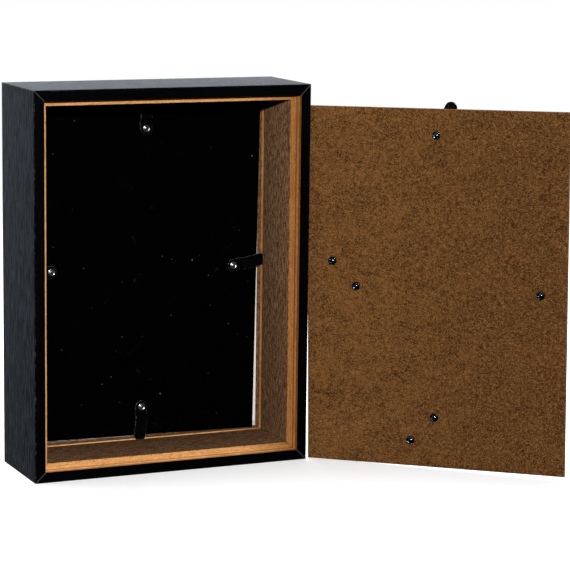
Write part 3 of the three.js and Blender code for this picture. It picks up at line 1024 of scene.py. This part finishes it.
# ----------------------------------------------------------------------------------------- flat sheets
@dataclass(frozen=True)
class Slab:
    """A flat sheet with softened edges and round holes.

    Attributes:
        width: its size across.
        height: its size along.
        top: height of its upper face.
        bottom: height of its lower face.
        arris: radius of its edges.
        holes: middle of each hole.
        hole_radius: radius of the holes.
        hole_steps: stretches along each side of the square that a hole stands in.
    """

    width: float
    height: float
    top: float
    bottom: float
    arris: float
    holes: tuple[tuple[float, float], ...] = ()
    hole_radius: float = 1.7 * MM
    hole_steps: int = 6

    def lines(self, size: float, at: Sequence[float]) -> np.ndarray:
        """Grid lines on one axis: even ones, and finer ones across every hole's square."""
        half = size / 2 - self.arris
        reach = HOLE_SQUARE * self.hole_radius
        even = np.linspace(-half, half, 25)
        fine = [np.linspace(c - reach, c + reach, self.hole_steps + 1) for c in sorted(set(at))]
        for piece in fine:
            even = even[(even < piece[0] - 1e-4) | (even > piece[-1] + 1e-4)]
        return np.unique(np.concatenate([even, *fine]).round(9))

    def both_lines(self) -> tuple[np.ndarray, np.ndarray]:
        """The grid's lines across and along."""
        return (self.lines(self.width, [x for x, _ in self.holes]),
                self.lines(self.height, [y for _, y in self.holes]))

    def hole_loops(self) -> tuple[np.ndarray, np.ndarray]:
        """A hole's circle and the square that it stands in, point for point, about the hole's middle."""
        side = np.linspace(-1, 1, self.hole_steps + 1)[:-1]
        one = np.ones_like(side)
        sides = ((side, -one), (one, side), (-side, one), (-one, -side))
        square = looped(np.concatenate([np.stack(pair, 1) for pair in sides]))
        return unit(square) * self.hole_radius, square * HOLE_SQUARE * self.hole_radius

    def face(self, shell: Surface, seat: Seat, level: float) -> None:
        """One face: a grid of lines, in which each hole's square is a ring from the hole to its sides."""
        xs, ys = self.both_lines()
        across, along = np.meshgrid(xs, ys, indexing="ij")
        flat = np.stack([across, along, np.full_like(across, level)], axis=-1).reshape(-1, 3)
        middle_x, middle_y = (xs[1:] + xs[:-1]) / 2, (ys[1:] + ys[:-1]) / 2
        reach = HOLE_SQUARE * self.hole_radius
        solid = np.ones((len(middle_x), len(middle_y)), bool)
        for x, y in self.holes:
            solid &= ~((np.abs(middle_x - x) < reach)[:, None] & (np.abs(middle_y - y) < reach)[None])
        shell.faces(seat.place(flat), quads(*across.shape)[solid], flat[:, :2], {})
        circle, square = self.hole_loops()
        share = np.linspace(0, 1, 3)[:, None, None]
        for hole in self.holes:
            local = stacked(circle + (square - circle) * share + np.array(hole), np.full(3, level))
            shell.grid(seat.place(local), local[..., :2])

    def rim(self, shell: Surface, seat: Seat) -> None:
        """The edge: the outline carried down the softened edge, a step further out at each height."""
        xs, ys = self.both_lines()
        loop = looped(np.concatenate([
            np.stack([xs[:-1], np.full(len(xs) - 1, ys[0])], 1),
            np.stack([np.full(len(ys) - 1, xs[-1]), ys[:-1]], 1),
            np.stack([xs[:0:-1], np.full(len(xs) - 1, ys[-1])], 1),
            np.stack([np.full(len(ys) - 1, xs[0]), ys[:0:-1]], 1),
        ]))
        out = np.stack([np.sign(loop[:, 0]) * (np.abs(loop[:, 0]) > xs[-1] - 1e-7),
                        np.sign(loop[:, 1]) * (np.abs(loop[:, 1]) > ys[-1] - 1e-7)], axis=1)
        move, heights = rolled_edge(self.arris, self.top, self.bottom)
        rows = loop[None] + out[None] * move[:, None, None]
        local = stacked(rows, heights)
        fold = np.array([1, 1, 1, 0, 1, 1, 1], float)[:, None]
        lay = local[..., :2] + out[None] * (self.top - heights)[:, None, None]
        shell.grid(seat.place(local), lay, fold=fold, cut=1 - fold)

    def build(self, name: str, seat: Seat) -> bpy.types.Object:
        """The whole sheet."""
        shell = Surface()
        self.face(shell, seat, self.top)
        self.face(shell, seat, self.bottom)
        self.rim(shell, seat)
        circle, _ = self.hole_loops()
        for hole in self.holes:
            local = stacked(np.stack([circle + np.array(hole)] * 2), np.array([self.top, self.bottom]))
            shell.grid(seat.place(local), local[..., :2])
        return shell.made(name)


def sheet_size(packed: PackedFrame, node: str, seat: Seat) -> tuple[float, float, float, float]:
    """Width, height, and the heights of the lower and upper faces of a flat node in its seat."""
    low, high = packed.extent(node, seat)
    return high[0] - low[0], high[1] - low[1], low[2], high[2]


# ------------------------------------------------------------------------------------ strips and wire
@dataclass(frozen=True)
class Strip:
    """A flat strip with a round end about its hole, cut from sheet metal.

    Attributes:
        half: half its width.
        length: from the hole to the far end, or to the far hole.
        tip: radius of the far corners.
        thick: thickness.
        hole: radius of the hole.
        arris: radius of its sheared edges.
        far_hole: whether the far end is round about a second hole.
        columns: stretches across the strip.
        side_steps: stretches beside the hole, on each side.
        round_steps: stretches of the round end.
        row_step: about how far apart the cross lines are.
    """

    half: float
    length: float
    tip: float
    thick: float
    hole: float = 1.7 * MM
    arris: float = 0.16 * MM
    far_hole: bool = False
    columns: int = 12
    side_steps: int = 5
    round_steps: int = 20
    row_step: float = 0.3 * MM

    def square_end(self, inset: float) -> tuple[np.ndarray, np.ndarray]:
        """The loop round the hole, and the outline about it: half circle, two sides and a cross line."""
        w = self.half - inset
        turn = np.linspace(math.pi, 2 * math.pi, self.round_steps + 1)[:-1]
        up = np.linspace(0, self.half, self.side_steps + 1)[:-1]
        cross = np.linspace(w, -w, self.columns + 1)[:-1]
        outline = looped(np.concatenate([
            np.stack([w * np.cos(turn), w * np.sin(turn)], 1),
            np.stack([np.full_like(up, w), up], 1),
            np.stack([cross, np.full_like(cross, self.half)], 1),
            np.stack([np.full_like(up, -w), self.half - up], 1),
        ]))
        return unit(outline) * (self.hole + inset), outline

    def body_rows(self, inset: float) -> np.ndarray:
        """Cross lines from the first end to the far one, shape (rows, columns + 1, 2)."""
        w, tip = self.half - inset, self.tip - inset
        start = self.half
        stop = self.length - self.half if self.far_hole else self.length - self.tip
        rows = np.linspace(start, stop, max(2, int((stop - start) / self.row_step) + 1))
        widths = np.full_like(rows, w)
        if not self.far_hole:
            turn = np.linspace(0, math.pi / 2, 10)[1:]
            rows = np.concatenate([rows, stop + tip * np.sin(turn)])
            widths = np.concatenate([widths, w - tip + tip * np.cos(turn)])
        share = np.linspace(1, -1, self.columns + 1)
        return np.stack(np.broadcast_arrays(widths[:, None] * share, rows[:, None]), axis=-1)

    def mirrored(self, flat: np.ndarray) -> np.ndarray:
        """The far end, as the first one seen from the other side."""
        return np.stack([-flat[..., 0], self.length - flat[..., 1]], axis=-1)

    def outer_loop(self, inset: float) -> np.ndarray:
        """The strip's whole outline, in order, closed."""
        _, end = self.square_end(inset)
        first = self.round_steps + self.side_steps
        rows = self.body_rows(inset)
        lower = end[:first]
        left_up = end[first + self.columns:-1]
        if self.far_hole:
            far = self.mirrored(np.concatenate([left_up, lower]))
            loop = [lower, rows[:, 0], far[1:], rows[::-1, -1], left_up[1:]]
        else:
            loop = [lower, rows[:, 0], rows[-1, 1:-1], rows[::-1, -1], left_up[1:]]
        return looped(np.concatenate(loop))

    def build(self, name: str, seat: Seat, bend: Bend) -> bpy.types.Object:
        """Lays the flat strip along a bend, in a seat.

        The two faces are the plan at the inset of the arris; between them the outline and the bores
        follow the softened edge.
        """
        shell = Surface()

        def put(plan: np.ndarray, heights: np.ndarray, **marks: Any) -> None:
            """Adds one grid of the flat strip, bent and placed."""
            flat = stacked(plan, heights)
            lay = plan + np.stack([heights, np.zeros_like(heights)], -1)[:, None]
            shell.grid(seat.place(bend.lay(flat)), lay, **marks)

        hole, outline = self.square_end(self.arris)
        share = np.linspace(0, 1, 6)[:, None, None]
        ring = hole + (outline - hole) * share
        plans = [ring, self.body_rows(self.arris)] + ([self.mirrored(ring)] if self.far_hole else [])
        for level in (self.thick / 2, -self.thick / 2):
            for plan in plans:
                put(plan, np.full(len(plan), level))
        out, heights = rolled_edge(self.arris, self.thick / 2, -self.thick / 2)
        insets = self.arris - out
        put(np.stack([self.outer_loop(i) for i in insets]), heights, fold=1.0)
        bore = np.stack([self.square_end(i)[0] for i in insets])
        put(bore, heights, fold=1.0)
        if self.far_hole:
            put(self.mirrored(bore), heights, fold=1.0)
        return shell.made(name)


@dataclass(frozen=True)
class Rivet:
    """A tubular rivet: a head with a ring pressed into it, a shank, and a closed or split tail.

    Attributes:
        sheet: thickness of what its tail lies behind.
        tail: radius of the tail.
        kind: how the tail is closed.
        shank: radius of the shank.
        head: radius of the head.
        petals: how many petals a split tail has.
        turns: stretches round it.
        clear: between the sheet and the tail.
    """

    sheet: float
    tail: float
    kind: Tail
    shank: float = 1.5 * MM
    head: float = 2.9 * MM
    petals: int = 6
    turns: int = 96
    clear: float = 0.05 * MM

    def head_rows(self, base: float, peak: float) -> tuple[np.ndarray, np.ndarray]:
        """Radius and height from the rim to the middle.

        The height is a dome, (1 - r^2.8)^0.55, less a ring pressed in at just over half the radius.
        """
        share = np.concatenate([np.linspace(1, 0.94, 8), np.linspace(0.92, 0, 26)])
        dome = np.maximum(1 - share**2.8, 0) ** 0.55
        ring = 1 - 0.34 * np.exp(-(((share - 0.56) / 0.12) ** 2))
        return share * self.head, base + (peak - base) * dome * ring

    def tail_rows(self, base: float, peak: float, angle: np.ndarray, seed: int) -> tuple:
        """Radius and height of the tail from the middle to the rim, for every angle.

        A split tail is a cap, (1 - (r / 0.6)^2)^0.5, inside a ring of petals. The ring is a bell curve of
        the radius, cut by narrow notches that are bell curves of the angle. Every petal has its own
        height and reach.
        """
        share = np.concatenate([np.linspace(0, 0.88, 24), np.linspace(0.91, 1, 8)])[:, None]
        if self.kind is Tail.FLAT:
            dome = np.maximum(1 - share**4, 0) ** 0.5
            return share * self.tail + 0 * angle, base + (peak - base) * dome + 0 * angle
        rng = np.random.default_rng(seed)
        step = 2 * math.pi / self.petals
        middles = np.arange(self.petals) * step + rng.uniform(-0.16, 0.16, self.petals)
        middles = middles + rng.uniform(0, step)
        away = (angle[:, None] - middles[None] + math.pi) % (2 * math.pi) - math.pi
        notch = np.exp(-((away / 0.15) ** 2)).sum(axis=1).clip(0, 1)
        near = np.argmin(np.abs((angle[:, None] - middles[None] - step / 2 + math.pi) % (2 * math.pi)
                                - math.pi), axis=1)
        tall = rng.uniform(0.80, 1.0, self.petals)[near]
        wide = rng.uniform(0.96, 1.0, self.petals)[near]
        soften = np.ones(9) / 9
        ring_tall = np.convolve(np.concatenate([tall[-4:], tall, tall[:4]]), soften, "valid")
        ring_wide = np.convolve(np.concatenate([wide[-4:], wide, wide[:4]]), soften, "valid")
        cap = np.sqrt((1 - (share / 0.6) ** 2).clip(0, 1))
        petal = 0.80 * np.exp(-(((share - 0.86) / 0.15) ** 2)) * (1 - 0.8 * notch)[None] * ring_tall[None]
        petal = petal * np.sqrt((1 - share**14).clip(0, 1))
        split = ((share - 0.40) / 0.5).clip(0, 1)
        height = np.maximum(cap, petal)
        radius = share * self.tail * (ring_wide * (1 - 0.1 * notch))[None] ** split
        return radius, base + (peak - base) * height

    def build(self, name: str, seat: Seat, low: float, high: float, under_head: float,
              seed: int) -> bpy.types.Object:
        """Carries the section round: tail, shank and head in one closed skin.

        Args:
            name: the piece's name.
            seat: the rivet's seat, on the face of its sheet.
            low: lowest point of the tail.
            high: highest point of the head.
            under_head: height of the head's underside.
            seed: of the tail's small differences.

        Returns:
            The rivet.
        """
        angle = np.linspace(0, 2 * math.pi, self.turns + 1)[:-1]
        tail_base = -self.sheet - self.clear
        tail_radius, tail_height = self.tail_rows(tail_base, low, angle, seed)
        head_radius, head_height = self.head_rows(under_head, high)
        ones = np.ones_like(angle)[None]
        shank_r = np.array([self.shank, self.shank])[:, None] * ones
        shank_h = np.array([tail_base, under_head])[:, None] * ones
        radius = np.concatenate([tail_radius, shank_r, head_radius[:, None] * ones])
        height = np.concatenate([tail_height, shank_h, head_height[:, None] * ones])
        radius = np.concatenate([radius, radius[:, :1]], axis=1)
        height = np.concatenate([height, height[:, :1]], axis=1)
        round_it = np.concatenate([angle, [2 * math.pi]])[None]
        local = np.stack([radius * np.cos(round_it), radius * np.sin(round_it), height], axis=-1)
        shell = Surface()
        shell.grid(seat.place(local), local[..., :2] + height[..., None])
        return shell.made(name, 40)


@dataclass(frozen=True)
class RingWire:
    """A triangular hanging ring of round wire whose ends meet in the strap's fold.

    Attributes:
        wire: radius of the wire.
        corner: radius of the corners at the straight side.
        gap: between the two ends.
        step: about how far apart the circles of the wire are.
        dome_steps: circles of each end's dome.
        around: stretches of each circle.
    """

    wire: float = 0.8 * MM
    corner: float = 2.0 * MM
    gap: float = 0.5 * MM
    step: float = 0.3 * MM
    dome_steps: int = 4
    around: int = 24

    def build(self, name: str, seat: Seat, half: float, reach: float) -> bpy.types.Object:
        """Carries a circle along the softened triangle, closing each end with a small dome.

        Args:
            name: the piece's name.
            seat: the ring's seat, in the middle of its straight side.
            half: half the straight side.
            reach: from the straight side to the apex.

        Returns:
            The ring.
        """
        corners = np.array([[self.gap / 2, 0], [half, 0], [0, reach], [-half, 0], [-self.gap / 2, 0]])
        line, _ = softened(corners, np.array([0, 1, 0.8, 1, 0]) * self.corner, 14, closed=False)
        path = measured(line, self.step)
        way = unit(np.gradient(path, axis=0))
        side = np.stack([-way[:, 1], way[:, 0]], axis=1)
        turn = np.linspace(0, math.pi / 2, self.dome_steps + 1)
        ease = np.sin(turn)
        radius = np.concatenate([ease[:-1], np.ones(len(path)), ease[-2::-1]]) * self.wire
        push = (1 - np.cos(turn))[:-1] * self.wire * 0.25
        path = np.concatenate([path[:1] + way[:1] * (push - push[-1] * 1.2)[:, None], path,
                               path[-1:] - way[-1:] * (push[::-1] - push[-1] * 1.2)[:, None]])
        side = np.concatenate([np.repeat(side[:1], self.dome_steps, 0), side,
                               np.repeat(side[-1:], self.dome_steps, 0)])
        turn = np.linspace(0, 2 * math.pi, self.around + 1)
        out = np.stack([side[:, None, 0] * np.cos(turn), side[:, None, 1] * np.cos(turn),
                        np.broadcast_to(np.sin(turn), (len(path), len(turn)))], axis=-1)
        middle = np.concatenate([path, np.zeros((len(path), 1))], axis=1)
        local = middle[:, None] + out * radius[:, None, None]
        run = np.arange(len(path)) * self.step
        lay = np.stack(np.broadcast_arrays(turn[None] * self.wire, run[:, None]), axis=-1)
        shell = Surface()
        shell.grid(seat.place(local), lay)
        return shell.made(name)


# ------------------------------------------------------------------------------------ sub-assemblies
class FrontStack:
    """Glass and insert sheet behind the front lip."""

    def __init__(self, packed: PackedFrame) -> None:
        """Keeps the frame."""
        self.packed = packed

    def build(self, finishes: Finishes) -> None:
        """Makes both sheets, each in a seat in the middle of its node."""
        up, out = np.array([0.0, 0.0, 1.0]), np.array([0.0, -1.0, 0.0])
        for node, arris, material, slot in (
            ("front_glass", 0.3 * MM, finishes.glass, Slot.GLASS),
            ("insert_sheet", 0.06 * MM, finishes.paper, Slot.PAPER),
        ):
            seat = Seat.on(self.packed.middle(node), up, out)
            width, height, low, high = sheet_size(self.packed, node, seat)
            piece = Slab(width, height, high, low, arris).build(f"{node}_pane", seat)
            settle(piece, material, slot, "case", node)


@dataclass
class CoatedSheet:
    """A thin fibreboard sheet with a black coat on one side, pierced for its rivets.

    Attributes:
        packed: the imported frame.
        node: the sheet's node.
        seat: its seat, with the coat on the way out.
        body: the body that it rides on.
        holes: where the rivets stand.
        coat: thickness of the coat.
        bond: between the coat and the board.
        arris: radius of the board's edges.
        coat_arris: radius of the coat's edges.
        snap: holes lie on multiples of it, so that they share grid lines.
    """

    packed: PackedFrame
    node: str
    seat: Seat
    body: str
    holes: list[np.ndarray]
    coat: float = 0.16 * MM
    bond: float = 0.01 * MM
    arris: float = 0.25 * MM
    coat_arris: float = 0.07 * MM
    snap: float = 0.05 * MM

    def build(self, finishes: Finishes, coating: bpy.types.Material) -> None:
        """Makes the fibreboard and its coat, whose outer face is the node's."""
        width, height, low, high = sheet_size(self.packed, self.node, self.seat)
        places = [np.round(self.seat.local(p)[:2] / self.snap) * self.snap for p in self.holes]
        holes = tuple(tuple(place) for place in places)
        core = Slab(width, height, high - self.coat - self.bond, low, self.arris, holes)
        coat = Slab(width, height, high, high - self.coat, self.coat_arris, holes)
        settle(core.build(f"{self.node}_fibre", self.seat), finishes.raw, Slot.RAW, self.body, self.node)
        settle(coat.build(f"{self.node}_coat", self.seat), coating, Slot.PANEL, self.body, self.node)


@dataclass
class TurnButtons:
    """The four turn buttons of one sheet and their rivets.

    Attributes:
        packed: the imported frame.
        group: inner or back.
        out: the way out of the sheet.
        body: the body of the sheet and the rivets.
        sheet: thickness of the sheet.
        tail: radius of the rivets' tails.
        kind: how the tails are closed.
        tip: radius of the far corners; without it the tip is round.
        thick: thickness of the plate.
        gap: between the sheet, the plate and the rivet's head.
        bend_at: from the rivet to where the plate steps up.
        bend_run: how long the step is.
        bend_radius: radius of the step's corners.
    """

    packed: PackedFrame
    group: str
    out: np.ndarray
    body: str
    sheet: float
    tail: float
    kind: Tail
    tip: Union[float, None] = None
    thick: float = 0.8 * MM
    gap: float = 0.1 * MM
    bend_at: float = 5.0 * MM
    bend_run: float = 2.3 * MM
    bend_radius: float = 1.0 * MM

    def line(self, reach: float, rise: float) -> np.ndarray:
        """The strip's middle line: flat, or stepped up by rise with two softened corners."""
        low = self.gap + self.thick / 2
        if rise < self.thick / 10:
            return np.array([[0, low], [reach, low]])
        corners = np.array([[0, low], [self.bend_at, low], [self.bend_at + self.bend_run, low + rise],
                            [reach, low + rise]])
        points, _ = softened(corners, np.array([0, 1, 1, 0]) * self.bend_radius, 10, closed=False)
        return points

    def build(self, steel: bpy.types.Material, rivet_finish: bpy.types.Material,
              rivet_slot: Slot) -> None:
        """Makes the buttons on their own bodies and the rivets on the sheet's."""
        for count, side in enumerate(Side):
            node = f"{self.group}_button_{side.value}"
            seat = self.packed.button_seat(node, self.out)
            low, high = self.packed.extent(node, seat)
            half = (high[0] - low[0]) / 2
            bend = Bend(self.line(high[1], high[2] - low[2] - self.thick))
            strip = Strip(half, bend.length, self.tip or half, self.thick)
            settle(strip.build(f"{node}_plate", seat, bend), steel, Slot.BLACK, node, node)
            pin = f"{self.group}_rivet_{side.value}"
            tail_low, head_high = (v[2] for v in self.packed.extent(pin, seat))
            rivet = Rivet(self.sheet, self.tail, self.kind)
            piece = rivet.build(f"{pin}_pin", seat, tail_low, head_high, 2 * self.gap + self.thick, count)
            settle(piece, rivet_finish, rivet_slot, self.body, pin)


@dataclass
class Hanger:
    """A strap folded round a triangular ring and riveted to the loose board.

    Attributes:
        packed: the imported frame.
        name: which of the two hangers it is.
        out: the way out of the board.
        face: a point on the board's outer face.
        thick: thickness of the strap.
        eye: radius of the fold's inside.
        slope: how far beyond half a turn the fold goes.
        gap: between the strap's two layers, and under the rivet's head.
        seat_gap: between the strap and the board.
        wider: added to half the ring's straight side, which its rounded corners take back.
        longer: added to the ring's reach, for its rounded apex.
    """

    packed: PackedFrame
    name: str
    out: np.ndarray
    face: np.ndarray
    thick: float = 0.6 * MM
    eye: float = 1.1 * MM
    slope: float = math.radians(35)
    gap: float = 0.1 * MM
    seat_gap: float = 0.05 * MM
    wider: float = 0.4 * MM
    longer: float = 0.5 * MM

    def fold_line(self, reach: float, height: float) -> np.ndarray:
        """The strap's middle line: out under the ring, round it by half a turn and more, and back."""
        low = self.seat_gap + self.thick / 2
        high = low + self.thick + self.gap
        radius = self.eye + self.thick / 2
        turn = np.linspace(-math.pi / 2, math.pi / 2 + self.slope, 40)
        arc = np.stack([reach + radius * np.cos(turn), height + radius * np.sin(turn)], 1)
        foot = arc[-1, 0] - (arc[-1, 1] - high) / math.tan(self.slope)
        knee, _ = softened(np.array([arc[-1], [foot, high], [0, high]]), np.array([0, 1.2 * MM, 0]), 8,
                           closed=False)
        return np.concatenate([[[0, low]], arc, knee[1:]])

    def build(self, finishes: Finishes, seed: int) -> None:
        """Makes the strap, its rivet and its ring."""
        joint = f"hanger_ring_{self.name}_flip"
        hinge = self.packed.pivot(joint)
        rivet_node = f"hanger_rivet_{self.name}"
        middle = self.packed.middle(rivet_node)
        foot = middle - self.out * ((middle - self.face) @ self.out)
        seat = Seat.on(foot, hinge - foot, self.out)
        eye = seat.local(hinge)
        strap_node = f"hanger_strap_{self.name}"
        low, high = self.packed.extent(strap_node, seat)
        bend = Bend(self.fold_line(eye[1], eye[2]))
        half = (high[0] - low[0]) / 2
        strip = Strip(half, bend.length, half, self.thick, arris=0.13 * MM, far_hole=True)
        settle(strip.build(f"{strap_node}_plate", seat, bend), finishes.nickel, Slot.BRIGHT, "back_board",
               strap_node)
        tail_low, head_high = (v[2] for v in self.packed.extent(rivet_node, seat))
        under = self.seat_gap + 2 * self.thick + 2 * self.gap
        rivet = Rivet(BOARD_THICK, PETAL_TAIL, Tail.PETALS)
        settle(rivet.build(f"{rivet_node}_pin", seat, tail_low, head_high, under, seed),
               finishes.dull_nickel, Slot.BLACK, "back_board", rivet_node)
        ring_node = f"hanger_ring_{self.name}"
        ring_seat = Seat.on(hinge, seat.axes[1], self.out)
        ring_low, ring_high = self.packed.extent(ring_node, ring_seat)
        wire = RingWire()
        reach = ring_high[1] - wire.wire
        half_ring = (ring_high[0] - ring_low[0]) / 2 - wire.wire
        piece = wire.build(f"{ring_node}_wire", ring_seat, half_ring + self.wider, reach + self.longer)
        settle(piece, finishes.nickel, Slot.BRIGHT, ring_node, ring_node)


# ------------------------------------------------------------------------------------------ the studio
@dataclass(frozen=True)
class Studio:
    """Pale floor, soft light and the camera.

    Attributes:
        eye: the camera's place.
        yaw: turn of its view from +Y towards +X.
        pitch: rise of its view above the horizon.
        roll: turn about its view.
        lens: focal length for a 36 mm sensor.
        floor_size: side of the floor.
        floor_seen: how far from the middle the floor is whole, and where it has faded out.
        floor_glow: how bright it shines by itself.
        key_aim: where the key light points.
        key_far: how far it stands from there.
        key_azimuth: turn of its place from -Y towards -X.
        key_rise: its height above the horizon, as an angle.
        key: its size and power.
        overhead: place, aim, size and power of the light behind and above.
        front_to_back: strength of the sky's light from the front and from behind.
        low_to_high: factor on it low down and high up.
        sky_colour: its colour.
    """

    eye: tuple[float, float, float] = (-0.5986, -1.5532, 0.4053)
    yaw: float = 0.4225
    pitch: float = -0.1651
    roll: float = 0.0129
    lens: float = 150.4
    floor_size: float = 9.0
    floor_seen: tuple[float, float] = (0.5, 1.6)
    floor_glow: float = 0.42
    key_aim: tuple[float, float, float] = (0.05, -0.03, 0.13)
    key_far: float = 2.4
    key_azimuth: float = math.radians(21)
    key_rise: float = math.radians(16)
    key: tuple[float, float] = (0.085, 62.0)
    overhead: tuple[Any, ...] = ((0.2, 1.1, 2.3), (0.05, 0.1, 0.0), 2.6, 95.0)
    front_to_back: tuple[float, float] = (0.02, 0.95)
    low_to_high: tuple[float, float] = (0.20, 1.80)
    sky_colour: Colour = (0.84, 0.92, 1.0)

    def camera(self) -> None:
        """The camera: its view from yaw and pitch, its level turned by roll."""
        ahead = np.array([math.sin(self.yaw) * math.cos(self.pitch),
                          math.cos(self.yaw) * math.cos(self.pitch), math.sin(self.pitch)])
        level = np.array([math.cos(self.yaw), -math.sin(self.yaw), 0.0])
        above = np.cross(level, ahead)
        right = math.cos(self.roll) * level + math.sin(self.roll) * above
        up = -math.sin(self.roll) * level + math.cos(self.roll) * above
        data = bpy.data.cameras.new("camera")
        data.sensor_width, data.lens = 36.0, self.lens
        camera = bpy.data.objects.new("camera", data)
        camera.matrix_world = Matrix([
            (right[0], up[0], -ahead[0], self.eye[0]), (right[1], up[1], -ahead[1], self.eye[1]),
            (right[2], up[2], -ahead[2], self.eye[2]), (0, 0, 0, 1)])
        bpy.context.scene.collection.objects.link(camera)
        bpy.context.scene.camera = camera

    def lamp(self, name: str, place: Sequence[float], aim: Sequence[float], size: float,
             power: float) -> None:
        """A square soft light at a place, turned to a point."""
        data = bpy.data.lights.new(name, "AREA")
        data.shape, data.size, data.energy = "SQUARE", size, power
        lamp = bpy.data.objects.new(name, data)
        back = unit(np.array(place, float) - np.array(aim, float))
        side = unit(np.cross([0.0, 0.0, 1.0] if abs(back[2]) < 0.99 else [0.0, 1.0, 0.0], back))
        up = np.cross(back, side)
        lamp.matrix_world = Matrix([(side[k], up[k], back[k], place[k]) for k in range(3)]
                                   + [(0, 0, 0, 1)])
        bpy.context.scene.collection.objects.link(lamp)

    def sky(self) -> None:
        """Surroundings: white where they are seen, dim in front of the open rear and bright behind."""
        world = bpy.data.worlds.new("studio")
        world.use_nodes = True
        world.node_tree.nodes.clear()
        sky = Nodes(world.node_tree)
        way = sky.add("ShaderNodeTexCoord", {}, {}, "Generated")
        spread = sky.part(way, "Y").rise(-0.35, 0.75, *self.front_to_back)
        lift = sky.part(way, "Z").rise(-0.30, 0.20, *self.low_to_high)
        glow = sky.add("ShaderNodeBackground", {}, {"Color": self.sky_colour, "Strength": spread * lift})
        seen = sky.add("ShaderNodeBackground", {}, {"Color": (1.0, 1.0, 1.0), "Strength": 1.0})
        by_camera = sky.add("ShaderNodeLightPath", {}, {}, "Is Camera Ray")
        light = sky.add("ShaderNodeMixShader", {}, {0: by_camera, 1: glow, 2: seen})
        sky.feed(sky.tree.nodes.new("ShaderNodeOutputWorld").inputs["Surface"], light)
        bpy.context.scene.world = world

    def floor(self) -> None:
        """A pale matt floor with a barely seen mottle."""
        half = self.floor_size / 2
        across = np.linspace(-half, half, 3)
        x, y = np.meshgrid(across, across, indexing="ij")
        shell = Surface()
        points = np.stack([x, y, np.zeros_like(x)], -1)
        shell.grid(points, points[..., :2])
        floor = shell.made("studio_floor")
        if floor.data.polygons[0].normal.z < 0:
            floor.data.flip_normals()
        s = Shader("pale_floor", IOR=1.05, Emission_Color=(1, 1, 1, 1), Emission_Strength=self.floor_glow)
        soft = s.noise(s.stretched(s.place(), (0.5, 0.5, 0.5)), 2.0, 0.5)
        away = s.add("ShaderNodeVectorMath", {"operation": "LENGTH"}, {0: s.place()}, "Value")
        whole, gone = self.floor_seen
        floor.data.materials.append(s.paint(
            Base_Color=s.mix((0.86, 0.86, 0.86), (0.82, 0.82, 0.82), soft), Roughness=0.8 + soft * 0.1,
            Alpha=away.rise(gone, whole)))
        floor.visible_diffuse = floor.visible_glossy = False  # what is under the box is lit by the sky

    def build(self) -> None:
        """Sets up everything round the box."""
        self.camera()
        self.sky()
        self.floor()
        level = self.key_far * math.cos(self.key_rise)
        place = (self.key_aim[0] - level * math.sin(self.key_azimuth),
                 self.key_aim[1] - level * math.cos(self.key_azimuth),
                 self.key_aim[2] + self.key_far * math.sin(self.key_rise))
        self.lamp("key", place, self.key_aim, *self.key)
        self.lamp("overhead", *self.overhead)
        bpy.context.scene.view_settings.view_transform = "Standard"


def main() -> None:
    """Builds the box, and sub-assembly by sub-assembly."""
    logging.basicConfig(level=logging.INFO, format="%(message)s")
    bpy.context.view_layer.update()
    packed = PackedFrame(frame)
    finishes = Finishes()
    Studio().build()
    Rails(packed, RailSection()).build(finishes)
    FrontStack(packed).build(finishes)

    rear = np.array([0.0, -1.0, 0.0])
    inner_pins = {side: packed.pivot(f"inner_button_{side.value}_turn") for side in Side}
    panel_up = inner_pins[Side.TOP] - inner_pins[Side.BOTTOM]
    panel_middle = packed.middle("inner_panel")
    panel_seat = Seat.on(panel_middle, panel_up, rear)
    CoatedSheet(packed, "inner_panel", panel_seat, "case", list(inner_pins.values())).build(
        finishes, finishes.panel)
    TurnButtons(packed, "inner", rear, "case", PANEL_THICK, FLAT_TAIL, Tail.FLAT, tip=INNER_TIP).build(
        finishes.blackened, finishes.nickel, Slot.BRIGHT)

    outer = packed.axis("back_button_top_turn")
    board_pins = {side: packed.pivot(f"back_button_{side.value}_turn") for side in Side}
    board_up = np.cross(outer, packed.axis("hanger_ring_foot_flip"))
    board_up = board_up * np.sign(board_up[2])
    board_middle = packed.middle("back_board")
    board_seat = Seat.on(board_middle, board_up, outer)
    face = board_pins[Side.TOP]
    hanger_pins = [packed.middle(f"hanger_rivet_{name}") for name in ("foot", "side")]
    CoatedSheet(packed, "back_board", board_seat, "back_board",
                list(board_pins.values()) + hanger_pins).build(finishes, finishes.rear_coat)
    TurnButtons(packed, "back", outer, "back_board", BOARD_THICK, PETAL_TAIL, Tail.PETALS).build(
        finishes.worn_black, finishes.dull_nickel, Slot.BLACK)
    for count, name in enumerate(("foot", "side")):
        Hanger(packed, name, outer, face).build(finishes, 11 + count)


if __name__ == "__main__":
    main()
